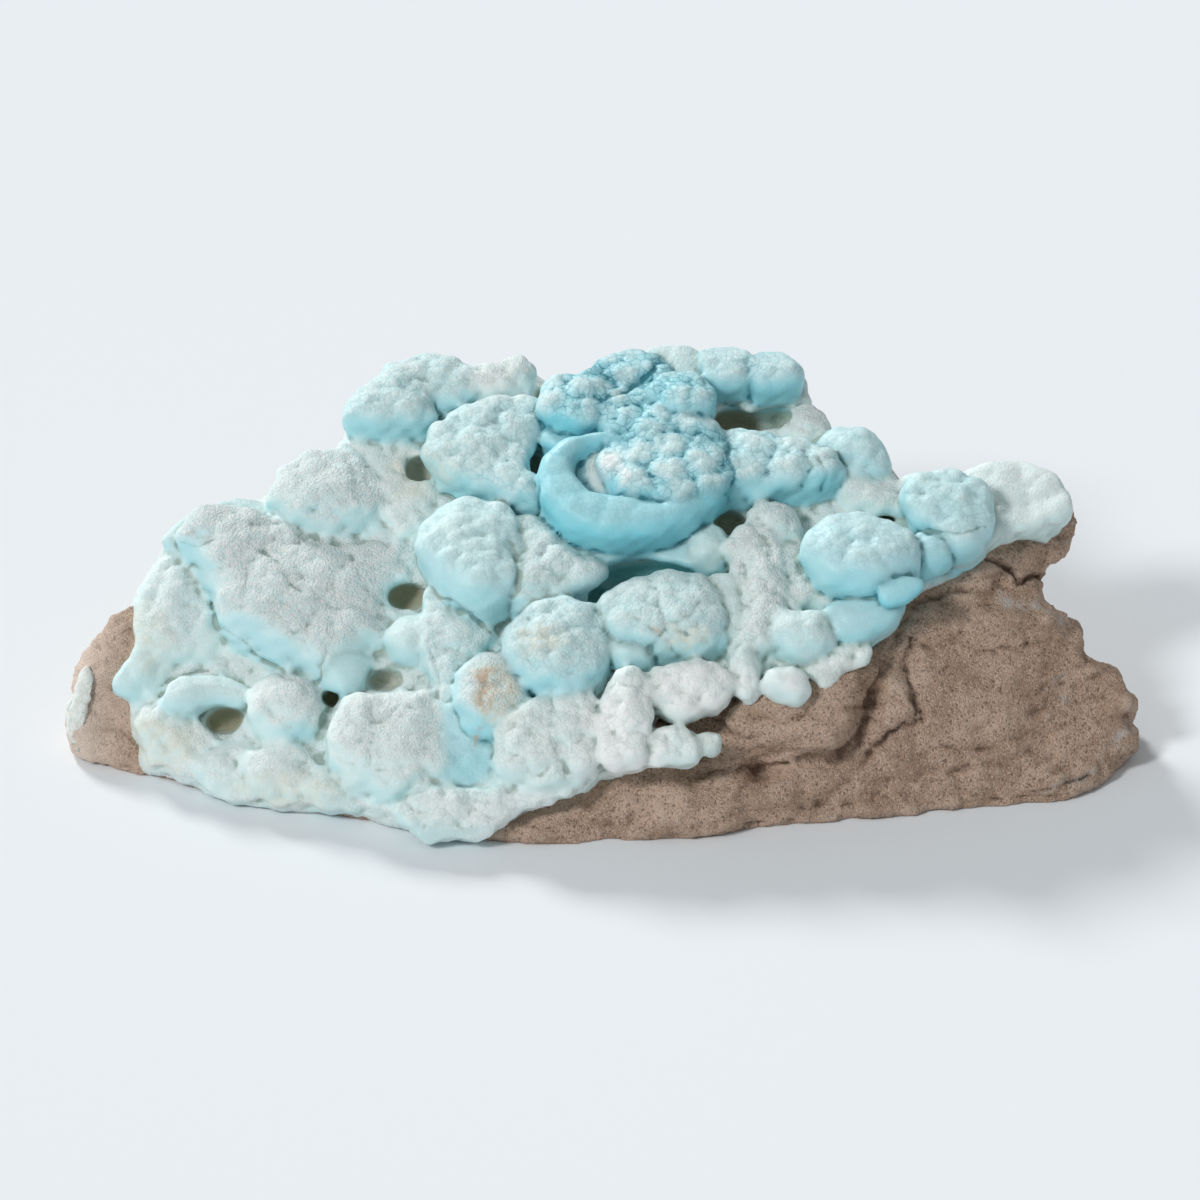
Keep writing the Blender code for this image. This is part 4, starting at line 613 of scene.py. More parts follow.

# Hollows between the lobes: middle and half sizes in pixels, depth in mm below the slope that the layer
# follows, and how much brown dust and how much painted teal shade the bottom has.
hollows = {
    "summitCave": dict(middle=(736, 424), half=(28, 15), depth=5, soil=0.8),
    "caveWall": dict(middle=(776, 419), half=(24, 11), depth=2.6, soil=0.25, tealShade=0.25),
    "northGap": dict(middle=(543, 394), half=(9, 9), depth=2.8, soil=0.5),
    "curlGap": dict(middle=(531, 466), half=(12, 16), depth=2.8, soil=0.6),
    "northWestGap": dict(middle=(420, 474), half=(18, 18), depth=2.2, soil=0.4),
    "tableHole": dict(middle=(407, 597), half=(21, 14), depth=3, soil=0.8),
    "eastPinhole": dict(middle=(885, 520), half=(11, 5), depth=3.5, soil=0.8),
    "armHole": dict(middle=(730, 524), half=(18, 13), depth=2.6, soil=0.7),
    "fanArch": dict(middle=(650, 579), half=(56, 17), depth=2.8, tealShade=0.8),
    "fanArchWest": dict(middle=(598, 598), half=(11, 15), depth=3.4, tealShade=0.8),
    "westHole": dict(middle=(226, 721), half=(20, 14), depth=2.6, soil=0.8),
    "toeHole": dict(middle=(386, 681), half=(19, 12), depth=2, soil=0.45),
    "knobCrack": dict(middle=(331, 698), half=(7, 8), depth=2.4, soil=0.8),
}

crustEdge = outlineRaster(toPlane(smoothClosed(crust["outline"], 3)), reach=12, spacing=0.4)


def layPlate(lobe):  # works out a lobe's plane and its outline on that plane
    pixels = np.array(lobe["outline"], float)
    centre = (pixels.min(axis=0) + pixels.max(axis=0)) / 2
    x, h = toPlane(centre)
    lean = math.radians(lobe["lean"])
    halfUp = (pixels[:, 1].max() - pixels[:, 1].min()) / 2 * pixel
    stretch = (1 - lobe["rim"] * (1 - math.cos(lean)) / halfUp) / math.cos(lean)
    curve = toPlane(smoothClosed(pixels, 8)) - [x, h]
    curve[:, 1] *= stretch
    size = min(np.ptp(curve, axis=0)) / 2
    lobe.update(
        middle=(x, h, float(slopeOut(x, h)) + lobe["lift"]), leanSin=math.sin(lean), leanCos=math.cos(lean),
        raster=outlineRaster(curve, reach=3.5), size=size, reachUp=np.abs(curve[:, 1]).max())


for lobe in lobes.values():
    layPlate(lobe)


def waver(x, h, w):  # slow wandering that keeps outlines and faces from being drawn too clean
    slow = np.sin(0.83 * x + 1.7 * np.sin(0.41 * h)) * np.sin(0.67 * h - 0.31 * w + 0.9)
    quick = np.sin(1.9 * x - 1.1 * w + 0.4) * np.sin(1.6 * h + 0.7 * w + 2.1)
    return 0.42 * slow + 0.22 * quick


def plateCoordinates(lobe, x, h, w):  # across and along a lobe's plane, and above it
    dx, dh, dw = x - lobe["middle"][0], h - lobe["middle"][1], w - lobe["middle"][2]
    along = dh * lobe["leanCos"] - dw * lobe["leanSin"]
    above = dh * lobe["leanSin"] + dw * lobe["leanCos"]
    return dx, along, above


def plateDistance(lobe, x, h, w):  # a pillow with rounded edges and a swollen face, on a stem
    across, along, above = plateCoordinates(lobe, x, h, w)
    rim = lobe["rim"]
    corner = rim * lobe.get("corner", 0.6)
    edge = sampleRaster(lobe["raster"], across, along) + waver(x, h, w) * min(0.35 + lobe["lump"], 1)
    inward = np.clip(-(edge + lobe.get("brim", rim * 0.6)) / (lobe["size"] * 0.7), 0, 1)
    swollen = lobe["crown"] * (1 - (1 - inward) ** 2)
    height = np.abs(np.where(above > 0, above - np.minimum(above, swollen), above)) - (rim - corner)
    outer = edge + corner
    inner = np.minimum(np.maximum(outer, height), 0)
    plate = np.hypot(np.maximum(outer, 0), np.maximum(height, 0)) + inner - corner
    inset = rim * (0.75 - 0.7 * ramp(along / lobe["reachUp"], 0.1, 0.8))
    stem = np.maximum(np.maximum(edge + inset, above), -above - crust["stem"])
    return smoothMin(plate, stem, crust["stemBlend"])


def layerDistance(x, h, w, slope, steepness, edge):  # the even layer under the lobes, round at its edge
    left = np.clip(crust["edgeRadius"] + edge, 0, crust["edgeRadius"])
    drop = crust["edgeRadius"] - np.sqrt(np.maximum(crust["edgeRadius"] ** 2 - left**2, 0))
    top = (w - slope - crust["rise"] + drop + crust["wander"] * waver(x, h, w)) / steepness
    bottom = (slope - crust["thickness"] - w) / steepness
    return np.maximum(np.maximum(top, bottom), edge)


def windowOf(axes, low, high):  # the part of the grid between two corners
    return tuple(
        slice(max(0, int(np.searchsorted(axis, a))), min(len(axis), int(np.searchsorted(axis, b))))
        for axis, a, b in zip(axes, low, high)
    )


def startGrid():  # the layer with all its lobes, as distances on a grid
    voxel = crust["voxel"]
    axes = [np.arange(low, high, voxel, dtype=np.float32) for low, high in crust["grid"]]
    x, h, w = axes[0][:, None, None], axes[1][None, :, None], axes[2][None, None, :]
    flatX, flatH = np.broadcast_arrays(x[..., 0], h[..., 0])
    slope = slopeOut(flatX, flatH).astype(np.float32)
    steepness = np.sqrt(1 + sum(g**2 for g in np.gradient(slope, voxel)))[..., None]
    edge = sampleRaster(crustEdge, flatX, flatH)[..., None]
    field = layerDistance(x, h, w, slope[..., None], steepness, edge).astype(np.float32)
    for lobe in lobes.values():
        cx, ch, cw = lobe["middle"]
        reach = lobe["rim"] + crust["clearance"]
        rise = lobe["reachUp"] * lobe["leanCos"] + reach
        depth = lobe["reachUp"] * lobe["leanSin"] + reach
        halfAcross = lobe["raster"]["values"].shape[0] * lobe["raster"]["spacing"] / 2
        under = crust["stem"] + 0.5
        low = (cx - halfAcross - 1, ch - rise - under, cw - depth - under)
        high = (cx + halfAcross + 1, ch + rise + 2, cw + depth + 2)
        part = windowOf(axes, low, high)
        here = plateDistance(lobe, x[part[0]], h[:, part[1]], w[:, :, part[2]])
        field[part] = smoothMin(field[part], here, lobe["melt"])
    return axes, field


# Round beads are packed on the lobes' faces, first coarse knobs and then finer ones over them. radii are in
# mm; closeness, reach and stands, the height, are shares of a bead's radius.
beadPacking = {
    "knobs": dict(seed=4, tries=14000, radii=(1.8, 3.1), closeness=0.6, reach=1.1, stands=0.38),
    "beads": dict(seed=9, tries=56000, radii=(0.8, 1.6), closeness=0.6, reach=1.1, stands=0.44),
}
beadLimits = {
    "swell": 0.15,  # no beads where a face is smoother than this
    "facing": -0.2,  # or turned further from the camera
    "size": 0.7,  # or where a seam leaves less than this share of the smallest radius
    "spread": 0.25,  # of the sizes on one face, as a share of the range of radii
    "seamRadius": 0.5,  # mm, on a seam
    "seamGrowth": 1.3,  # mm more for each mm away from it
}


def surfaceOf(field):  # points in grid steps, and quads, where the distance is 0
    volume = openvdb.FloatGrid(9.0)
    volume.copyFromArray(field)
    return volume.convertToQuads(isovalue=0.0)


def addBeads(axes, field, packing):  # round-topped beads that meet in narrow creases
    random = np.random.default_rng(packing["seed"])
    spots = surfaceOf(field)[0]
    spots = spots[random.choice(len(spots), min(packing["tries"], len(spots)), replace=False)].astype(float)
    i, j, k = np.clip(spots.round().astype(int), 1, np.array(field.shape) - 2).T
    normal = np.stack([
        field[i + 1, j, k] - field[i - 1, j, k], field[i, j + 1, k] - field[i, j - 1, k],
        field[i, j, k + 1] - field[i, j, k - 1]], axis=-1)
    normal /= np.linalg.norm(normal, axis=1, keepdims=True) + 1e-6
    places = spots * crust["voxel"] + [axis[0] for axis in axes]
    masks = lobeMasks(places, normal)
    swell = masks["swell"] * masks["face"]
    share = np.clip(masks["bead"] + random.normal(0, beadLimits["spread"], len(places)), 0, 1)
    low, high = packing["radii"]
    roomy = beadLimits["seamRadius"] + beadLimits["seamGrowth"] * masks["apart"]
    radius = np.minimum(low + (high - low) * share, roomy)
    fitting = (normal[:, 2] > beadLimits["facing"]) & (radius > beadLimits["size"] * low)
    wanted = np.flatnonzero((swell > beadLimits["swell"]) & fitting)
    wanted = wanted[np.argsort(-radius[wanted] * random.uniform(0.7, 1.0, len(wanted)))]
    middles, radii = np.empty((len(wanted), 3)), np.empty(len(wanted))
    swollen = np.zeros_like(field)
    count = 0
    for index in wanted:
        r = radius[index]
        gap = np.linalg.norm(middles[:count] - places[index], axis=1)
        if count and (gap < (radii[:count] + r) * packing["closeness"]).any():
            continue
        middles[count] = places[index]
        radii[count] = r
        reach = packing["reach"] * r
        height = packing["stands"] * r * min(swell[index], 1) ** 0.8
        part = windowOf(axes, places[index] - reach, places[index] + reach)
        apart = [((axis[p] - m) / reach) ** 2 for axis, p, m in zip(axes, part, places[index])]
        share = apart[0][:, None, None] + apart[1][None, :, None] + apart[2]
        swollen[part] = np.maximum(swollen[part], height * (1 - share))
        count += 1
    field -= swollen
    print("beads packed:", count)


def cutHollows(axes, field):  # rounded pits, and nothing below the floor
    x, h, w = axes[0][:, None, None], axes[1][None, :, None], axes[2][None, None, :]
    for hollow in hollows.values():
        mx, mh = toPlane(hollow["middle"])
        roof = crust["hollowRoof"] + crust["rise"]
        middle = float(slopeOut(mx, mh)) + (roof - hollow["depth"]) / 2
        half = np.array([*(np.array(hollow["half"]) * pixel), (hollow["depth"] + roof) / 2])
        around = half + crust["hollowBlend"] + 0.2
        part = windowOf(axes, (mx, mh, middle) - around, (mx, mh, middle) + around)
        dx, dh, dw = x[part[0]] - mx, h[:, part[1]] - mh, w[:, :, part[2]] - middle
        inside = (np.sqrt((dx / half[0]) ** 2 + (dh / half[1]) ** 2 + (dw / half[2]) ** 2) - 1) * half.min()
        field[part] = -smoothMin(-field[part], inside, crust["hollowBlend"])
    np.maximum(field, crust["floorGap"] - (h * cosRise + w * sinRise), out=field)


def meshOf(name, points, faces):  # a mesh from arrays, all its faces with the same number of corners
    mesh = bpy.data.meshes.new(name)
    mesh.vertices.add(len(points))
    mesh.vertices.foreach_set("co", points.astype(np.float32).ravel())
    size = faces.shape[1]
    mesh.loops.add(len(faces) * size)
    mesh.loops.foreach_set("vertex_index", faces.astype(np.int32).ravel())
    mesh.polygons.add(len(faces))
    mesh.polygons.foreach_set("loop_start", np.arange(0, len(faces) * size, size, dtype=np.int32))
    mesh.update(calc_edges=True)
    return mesh


def addObject(name, data):
    piece = bpy.data.objects.new(name, data)
    bpy.context.scene.collection.objects.link(piece)
    return piece


def keepLargest(mesh):  # drops specks that float free of the main body
    bm = bmesh.new()
    bm.from_mesh(mesh)
    left = set(bm.verts)
    pieces = []
    while left:
        start = left.pop()
        piece, front = [start], [start]
        while front:
            for edge in front.pop().link_edges:
                for v in edge.verts:
                    if v in left:
                        left.remove(v)
                        piece.append(v)
                        front.append(v)
        pieces.append(piece)
    pieces.sort(key=len)
    if len(pieces) > 1:
        bmesh.ops.delete(bm, geom=[v for piece in pieces[:-1] for v in piece], context="VERTS")
    bm.to_mesh(mesh)
    bm.free()


def applyAll(piece):  # bakes the modifiers into the mesh
    graph = bpy.context.evaluated_depsgraph_get()
    old = piece.data
    piece.data = bpy.data.meshes.new_from_object(piece.evaluated_get(graph))
    piece.modifiers.clear()
    bpy.data.meshes.remove(old)


def pointsOf(mesh):
    co = np.empty(len(mesh.vertices) * 3, np.float32)
    mesh.vertices.foreach_get("co", co)
    return co.reshape(-1, 3).astype(float)


def normalsOf(mesh):
    normal = np.empty(len(mesh.vertices) * 3, np.float32)
    mesh.vertex_normals.foreach_get("vector", normal)
    return normal.reshape(-1, 3).astype(float)


def setMask(mesh, name, values):
    mask = mesh.attributes.get(name) or mesh.attributes.new(name, "FLOAT", "POINT")
    mask.data.foreach_set("value", np.asarray(values, np.float32))


def creaseMask(mesh, rounds):  # above 0 in creases and below 0 on edges, over a few mesh steps
    count = len(mesh.vertices)
    ends = np.empty(len(mesh.edges) * 2, np.int32)
    mesh.edges.foreach_get("vertices", ends)
    a, b = ends.reshape(-1, 2).T
    links = np.maximum(np.bincount(a, minlength=count) + np.bincount(b, minlength=count), 1)

    def around(values):
        return (np.bincount(a, values[b], count) + np.bincount(b, values[a], count)) / links

    points, normal = pointsOf(mesh), normalsOf(mesh)
    spread = around(np.ones(count)) * np.linalg.norm(points[a] - points[b], axis=1).mean()
    smooth = points.copy()
    for _ in range(rounds):
        smooth = np.stack([around(axis) for axis in smooth.T], axis=-1)
    values = ((smooth - points) * normal).sum(axis=1) / spread
    return 0.5 * values + 0.5 * around(values)


# The crease masks place painted shade in the creases.
def setCreases(mesh):  # narrow creases between beads, and the wider ones between lobes
    setMask(mesh, "crease", creaseMask(mesh, 1))
    setMask(mesh, "crevice", creaseMask(mesh, 5))


def keepInside(mesh):  # nothing passes the solids' own box
    co = np.clip(pointsOf(mesh), np.array(cadBox[0]), np.array(cadBox[1]))
    mesh.vertices.foreach_set("co", co.astype(np.float32).ravel())
    mesh.update()


def thinOut(piece, hidden, triangles):  # collapses edges down to a count, only where hidden if that is given
    thin = piece.modifiers.new("thin", "DECIMATE")
    if hidden is not None:
        group = piece.vertex_groups.new(name="hidden")
        group.add([int(i) for i in np.flatnonzero(hidden)], 1, "REPLACE")
        thin.vertex_group = "hidden"
    piece.data.calc_loop_triangles()
    thin.ratio = min(1, triangles / len(piece.data.loop_triangles))
    applyAll(piece)
    piece.vertex_groups.clear()


# Node helpers, for shaders and Geometry Nodes alike.
def feed(tree, socket, source):  # links another node's output, or sets a value
    if isinstance(source, bpy.types.NodeSocket):
        tree.links.new(source, socket)
    elif source is not None:
        socket.default_value = source


def addNode(tree, kind, inputs=None, **settings):
    node = tree.nodes.new(kind)
    for key, value in settings.items():
        setattr(node, key, value)
    for key, source in (inputs or {}).items():
        feed(tree, node.inputs[key], source)
    return node


def calc(tree, operation, a, b, clamp=False):
    return addNode(tree, "ShaderNodeMath", {0: a, 1: b}, operation=operation, use_clamp=clamp).outputs[0]


def times(tree, a, b, clamp=False):
    return calc(tree, "MULTIPLY", a, b, clamp=clamp)


def plus(tree, a, b, clamp=False):
    return calc(tree, "ADD", a, b, clamp=clamp)


def minus(tree, a, b, clamp=False):
    return calc(tree, "SUBTRACT", a, b, clamp=clamp)


def vectorCalc(tree, operation, a, b=None, scale=None):
    inputs = {key: source for key, source in ((0, a), (1, b), ("Scale", scale)) if source is not None}
    return addNode(tree, "ShaderNodeVectorMath", inputs, operation=operation).outputs[0]


def mixColour(tree, factor, a, b):
    return addNode(tree, "ShaderNodeMix", {0: factor, 6: a, 7: b}, data_type="RGBA").outputs[2]


def mixValue(tree, factor, a, b):
    return addNode(tree, "ShaderNodeMix", {0: factor, 2: a, 3: b}).outputs[0]


def stretchRange(tree, value, low, high, newLow=0.0, newHigh=1.0):
    inputs = {0: value, 1: low, 2: high, 3: newLow, 4: newHigh}
    return addNode(tree, "ShaderNodeMapRange", inputs, interpolation_type="SMOOTHSTEP").outputs[0]


def noiseOf(tree, vector, scale, detail=2.0, roughness=0.5):
    inputs = {"Vector": vector, "Scale": scale, "Detail": detail, "Roughness": roughness}
    return addNode(tree, "ShaderNodeTexNoise", inputs).outputs[0]


def bend(tree, place, scale, detail, amount):  # shifts places a little, so that cells lose their even shapes
    inputs = {"Vector": place, "Scale": scale, "Detail": detail}
    wobble = addNode(tree, "ShaderNodeTexNoise", inputs).outputs["Color"]
    return vectorCalc(tree, "ADD", place, vectorCalc(tree, "SCALE", wobble, scale=amount))


def inMillimetres(tree, place):
    return vectorCalc(tree, "SCALE", place, scale=1 / millimetre)


def domeOf(tree, vector, size, spread=0.8):  # round beads of about one size that meet in creases
    scale = calc(tree, "DIVIDE", 1.0, size)
    cells = addNode(tree, "ShaderNodeTexVoronoi", {"Vector": vector, "Scale": scale})
    share = calc(tree, "DIVIDE", cells.outputs["Distance"], spread, clamp=True)
    return minus(tree, 1.0, times(tree, share, share))


def namedMask(tree, name):
    node = addNode(tree, "GeometryNodeInputNamedAttribute", data_type="FLOAT")
    node.inputs["Name"].default_value = name
    return node.outputs[0]


def newTree(name, sizes):  # a Geometry Nodes tree with one mesh in, one out and named sizes
    tree = bpy.data.node_groups.new(name, "GeometryNodeTree")
    tree.interface.new_socket(name="Geometry", in_out="INPUT", socket_type="NodeSocketGeometry")
    for key, value in sizes.items():
        socket = tree.interface.new_socket(name=key, in_out="INPUT", socket_type="NodeSocketFloat")
        socket.default_value = value
    tree.interface.new_socket(name="Geometry", in_out="OUTPUT", socket_type="NodeSocketGeometry")
    return tree, tree.nodes.new("NodeGroupInput"), tree.nodes.new("NodeGroupOutput")


def pushOut(tree, start, end, height):  # moves each point along its normal by a height in mm
    move = addNode(tree, "GeometryNodeSetPosition", {"Geometry": start.outputs["Geometry"]})
    normal = addNode(tree, "GeometryNodeInputNormal").outputs[0]
    offset = vectorCalc(tree, "SCALE", normal, scale=times(tree, height, millimetre))
    feed(tree, move.inputs["Offset"], offset)
    feed(tree, end.inputs["Geometry"], move.outputs["Geometry"])


def runTree(piece, tree, sizes):  # runs a tree on a piece with its own sizes, and keeps the result
    modifier = piece.modifiers.new(tree.name, "NODES")
    modifier.node_group = tree
    for item in tree.interface.items_tree:
        if item.in_out == "INPUT" and item.name in sizes:
            modifier[item.identifier] = sizes[item.name]
    applyAll(piece)


# The finer beads of the mesh, in mm.
beads = {
    "Lump": 6.5,
    "Lump Height": 1.0,
    "Large Bead": 3.1,
    "Small Bead": 1.5,
    "Bead Height": 0.08,  # share of the bead's width
    "Granule": 0.8,
    "Granule Height": 0.07,
}


def buildBeadTree():
    tree, start, end = newTree("botryoidalBeads", beads)
    place = inMillimetres(tree, addNode(tree, "GeometryNodeInputPosition").outputs[0])
    bent = bend(tree, place, scale=0.4, detail=1.0, amount=2.2)
    sizes = start.outputs
    lump, large, small = (domeOf(tree, bent, sizes[key]) for key in ("Lump", "Large Bead", "Small Bead"))
    granule = domeOf(tree, place, sizes["Granule"])
    face, swell, frost, lumps = (namedMask(tree, name) for name in ("face", "swell", "frost", "lump"))
    choice = plus(tree, namedMask(tree, "bead"), minus(tree, noiseOf(tree, place, 0.22), 0.5))
    choice = stretchRange(tree, choice, 0.25, 0.7)
    wide = times(tree, minus(tree, large, 0.5), times(tree, sizes["Large Bead"], choice))
    smallSize = times(tree, sizes["Small Bead"], mixValue(tree, choice, 1.0, 0.55))
    fine = times(tree, minus(tree, small, 0.5), smallSize)
    raised = times(tree, plus(tree, wide, fine), times(tree, sizes["Bead Height"], swell))
    uneven = times(tree, minus(tree, lump, 0.5), times(tree, lumps, sizes["Lump Height"]))
    raised = times(tree, plus(tree, raised, uneven), face)
    rough = times(tree, minus(tree, granule, 0.5), sizes["Granule Height"])
    rough = times(tree, rough, mixValue(tree, frost, 0.1, 1.0))
    pushOut(tree, start, end, minus(tree, plus(tree, raised, rough), namedMask(tree, "line")))
    return tree


# The looks of the layer between the lobes, and how quickly a lobe's share fades with distance, per mm.
layerLooks = dict(blue=0.16, frost=0.75, bead=0.7, swell=0.24, lump=0.9, face=0.9, melt=1.0)
shareFade = 3.5


def lobeMasks(points, normals):  # what each point of the crust takes from the lobes around it
    x, h, w = points.T
    upright = normals[:, 1]  # 1 faces up the picture, -1 down it as the lobes' front walls do
    first = np.abs(w - slopeOut(x, h) - crust["rise"])
    second = np.full(len(points), 9.0)
    total = np.exp(-first * shareFade) + 0.02
    masks = {name: total * value for name, value in layerLooks.items()}
    for lobe in lobes.values():
        cx, ch, cw = lobe["middle"]
        reach = max(lobe["size"], lobe["reachUp"]) + lobe["rim"] + 6
        near = np.flatnonzero((np.abs(h - ch) < reach) & (np.abs(w - cw) < reach) & (np.abs(x - cx) < 40))
        across, along, up = plateCoordinates(lobe, x[near], h[near], w[near])
        edge = sampleRaster(lobe["raster"], across, along)
        distance = np.clip(plateDistance(lobe, x[near], h[near], w[near]), 0, None)
        weight = np.exp(-distance * shareFade)
        rim = lobe["rim"]
        here = dict(lobe)
        below, above = (sampleRaster(lobe["raster"], across, along + step) for step in (-0.4, 0.4))
        inwardUp = below - above  # above 0 on the lower side of the lobe
        bound = lobe.get("brim", 0.1 * rim) + lobe.get("band", 0.4 * rim) * ramp(inwardUp, 0.1, 0.6)
        within = ramp(-edge, bound - 0.5 * rim, bound + 0.2 * rim) * ramp(up, -0.2 * rim, 0.4 * rim)
        here["face"] = within * ramp(upright[near], -0.6, 0.1)
        here["frost"] = lobe["frost"] * within * ramp(upright[near], -0.35, 0.4)
        here["blue"] = lobe["blue"] + (0.1 + 0.12 * lobe["blue"]) * (1 - ramp(upright[near], -0.6, 0.3))
        total[near] += weight
        for name in masks:
            masks[name][near] += weight * here[name]
        second[near] = np.minimum(np.maximum(distance, first[near]), second[near])
        first[near] = np.minimum(distance, first[near])
    for name in masks:
        masks[name] /= total
    melted = ramp(masks.pop("melt"), 0.6, 1.3)
    masks["apart"] = second - first + 4 * melted  # 0 on a seam and more away from it
    # seam: where two lobes meet, for painted shade along the seam
    masks["seam"] = (1 - ramp(second - first, 0.0, 1.3)) * (1 - melted)
    return masks


def nearLine(points, line, width):  # 1 on a line drawn on the picture, fading to 0 at its width
    ends = toPlane(line)
    points = points + 0.9 * np.stack([waver(*points.T), waver(*points.T[::-1]), 0 * points[:, 0]], axis=-1)
    nearest = np.full(len(points), 1e9)
    for a, b in zip(ends, ends[1:]):
        step = b - a
        share = np.clip(((points[:, :2] - a) @ step) / (step @ step), 0, 1)
        nearest = np.minimum(nearest, np.hypot(*(points[:, :2] - a - share[:, None] * step).T))
    return 1 - ramp(nearest, 0, width)


def patchMask(points, kind):  # how strong a patch of colour is, fading over its outer half
    x, h, w = points.T
    x, h = x + 2.0 * waver(x, h, w), h + 2.0 * waver(h, w, x)
    mask = np.zeros(len(points))
    for patch in patches.values():
        mx, mh = toPlane(patch["middle"])
        rx, rh = np.array(patch["half"]) * pixel
        fade = 1 - ramp(np.hypot((x - mx) / rx, (h - mh) / rh), 0.5, 1.1)
        mask = np.maximum(mask, patch.get(kind, 0) * fade)
    return mask


def soilAndShadeMask(points, kind):  # brown dust, or painted shade in deep teal, at the bottom of the hollows
    x, h, w = points.T
    soil = np.zeros(len(points))
    depth = slopeOut(x, h) - w
    for hollow in hollows.values():
        mx, mh = toPlane(hollow["middle"])
        rx, rh = np.array(hollow["half"]) * pixel * 1.15
        near = 1 - ramp(np.hypot((x - mx) / rx, (h - mh) / rh), 0.6, 1.1)
        soil = np.maximum(soil, hollow.get(kind, 0) * near * ramp(depth, -2.6, 0.6))
    return soil


def buildCrust():  # the blue lobes, from the grid to the finished mesh
    axes, field = startGrid()
    for packing in beadPacking.values():
        addBeads(axes, field, packing)
    cutHollows(axes, field)
    points, quads = surfaceOf(field)
    points = points * crust["voxel"] + [axis[0] for axis in axes]
    mesh = meshOf("crust", toWorld(points), quads)
    keepLargest(mesh)
    piece = addObject("aragonite_lobes", mesh)
    print("crust meshed:", len(mesh.polygons), "quads")
    plane = fromWorld(pointsOf(mesh))
    masks = lobeMasks(plane, turnToPlane(normalsOf(mesh)))
    masks.pop("apart")  # only the beads need it
    masks["blue"] = masks["blue"] + patchMask(plane, "blue")
    front = ramp(plane[:, 2] - slopeOut(plane[:, 0], plane[:, 1]), -3, -1)
    line = sum(item["depth"] * nearLine(plane, item["line"], item["width"]) for item in crustLines.values())
    masks["line"] = np.clip(line, 0, 1) * front
    for name, values in masks.items():
        setMask(mesh, name, values)
    for kind in ("cream", "rust", "white"):
        setMask(mesh, kind, patchMask(plane, kind) * front)
    for kind in ("soil", "tealShade"):
        setMask(mesh, kind, soilAndShadeMask(plane, kind))
    runTree(piece, buildBeadTree(), beads)
    setCreases(piece.data)
    plane = fromWorld(pointsOf(piece.data))
    hidden = plane[:, 2] < slopeOut(plane[:, 0], plane[:, 1]) - crust["thickness"] + crust["hiddenBack"]
    thinOut(piece, hidden, crust["backTriangles"])
    thinOut(piece, None, crust["triangles"])
    keepInside(piece.data)
    return piece


def linear(*rgb):  # an sRGB colour of 0 to 255 as a shader colour
    shares = [c / 255 for c in rgb]
    return (*[c / 12.92 if c <= 0.04045 else ((c + 0.055) / 1.055) ** 2.4 for c in shares], 1)


def attributeOf(tree, name):
    return addNode(tree, "ShaderNodeAttribute", attribute_name=name, attribute_type="GEOMETRY").outputs["Fac"]


def startMaterial(name):  # a material, its tree and shader, and places on it in mm
    material = bpy.data.materials.new(name)
    material.use_nodes = True
    tree = material.node_tree
    place = inMillimetres(tree, addNode(tree, "ShaderNodeTexCoord").outputs["Object"])
    return material, tree, tree.nodes["Principled BSDF"], place


def bumpOut(tree, shader, height, depth):  # relief too fine for the mesh, depth in metres
    bump = addNode(tree, "ShaderNodeBump", {"Strength": 1.0, "Distance": depth, "Height": height})
    feed(tree, shader.inputs["Normal"], bump.outputs[0])


def buildGrainGroup():  # fine grains: a mask of light and dark specks, a height, and broad mottling
    tree = bpy.data.node_groups.new("fineGrain", "ShaderNodeTree")
    tree.interface.new_socket(name="Place", in_out="INPUT", socket_type="NodeSocketVector")
    tree.interface.new_socket(name="Grain Size", in_out="INPUT", socket_type="NodeSocketFloat")
    for key in ("Speck", "Height", "Mottle"):
        tree.interface.new_socket(name=key, in_out="OUTPUT", socket_type="NodeSocketFloat")
    start, end = tree.nodes.new("NodeGroupInput"), tree.nodes.new("NodeGroupOutput")
    scale = calc(tree, "DIVIDE", 1.0, start.outputs["Grain Size"])
    cells = addNode(tree, "ShaderNodeTexVoronoi", {"Vector": start.outputs["Place"], "Scale": scale})
    speck = addNode(tree, "ShaderNodeSeparateColor", {0: cells.outputs["Color"]}).outputs[0]
    bump = minus(tree, 1.0, cells.outputs["Distance"], clamp=True)
    fine = noiseOf(tree, start.outputs["Place"], times(tree, scale, 1.7), 3.0, 0.6)
    feed(tree, end.inputs["Speck"], speck)
    feed(tree, end.inputs["Height"], mixValue(tree, 0.5, bump, fine))
    feed(tree, end.inputs["Mottle"], noiseOf(tree, start.outputs["Place"], 0.16, 4.0, 0.55))
    return tree


grainGroup = buildGrainGroup()


# The lines between the beads are darkened in the shader as painted shade.
def beadSkin(tree, place, size):  # beads too fine for the mesh: their height, and the lines between them
    sizes = {"Vector": bend(tree, place, scale=0.9, detail=1.0, amount=0.9), "Scale": 1 / size}
    nearest = addNode(tree, "ShaderNodeTexVoronoi", sizes).outputs["Distance"]
    edge = addNode(tree, "ShaderNodeTexVoronoi", sizes, feature="DISTANCE_TO_EDGE").outputs["Distance"]
    dome = minus(tree, 1.0, times(tree, nearest, nearest))
    return dome, minus(tree, 1.0, stretchRange(tree, edge, 0.0, 0.14))


def grainOf(tree, place, size):
    node = addNode(tree, "ShaderNodeGroup", node_tree=grainGroup)
    feed(tree, node.inputs["Place"], place)
    node.inputs["Grain Size"].default_value = size
    return node.outputs


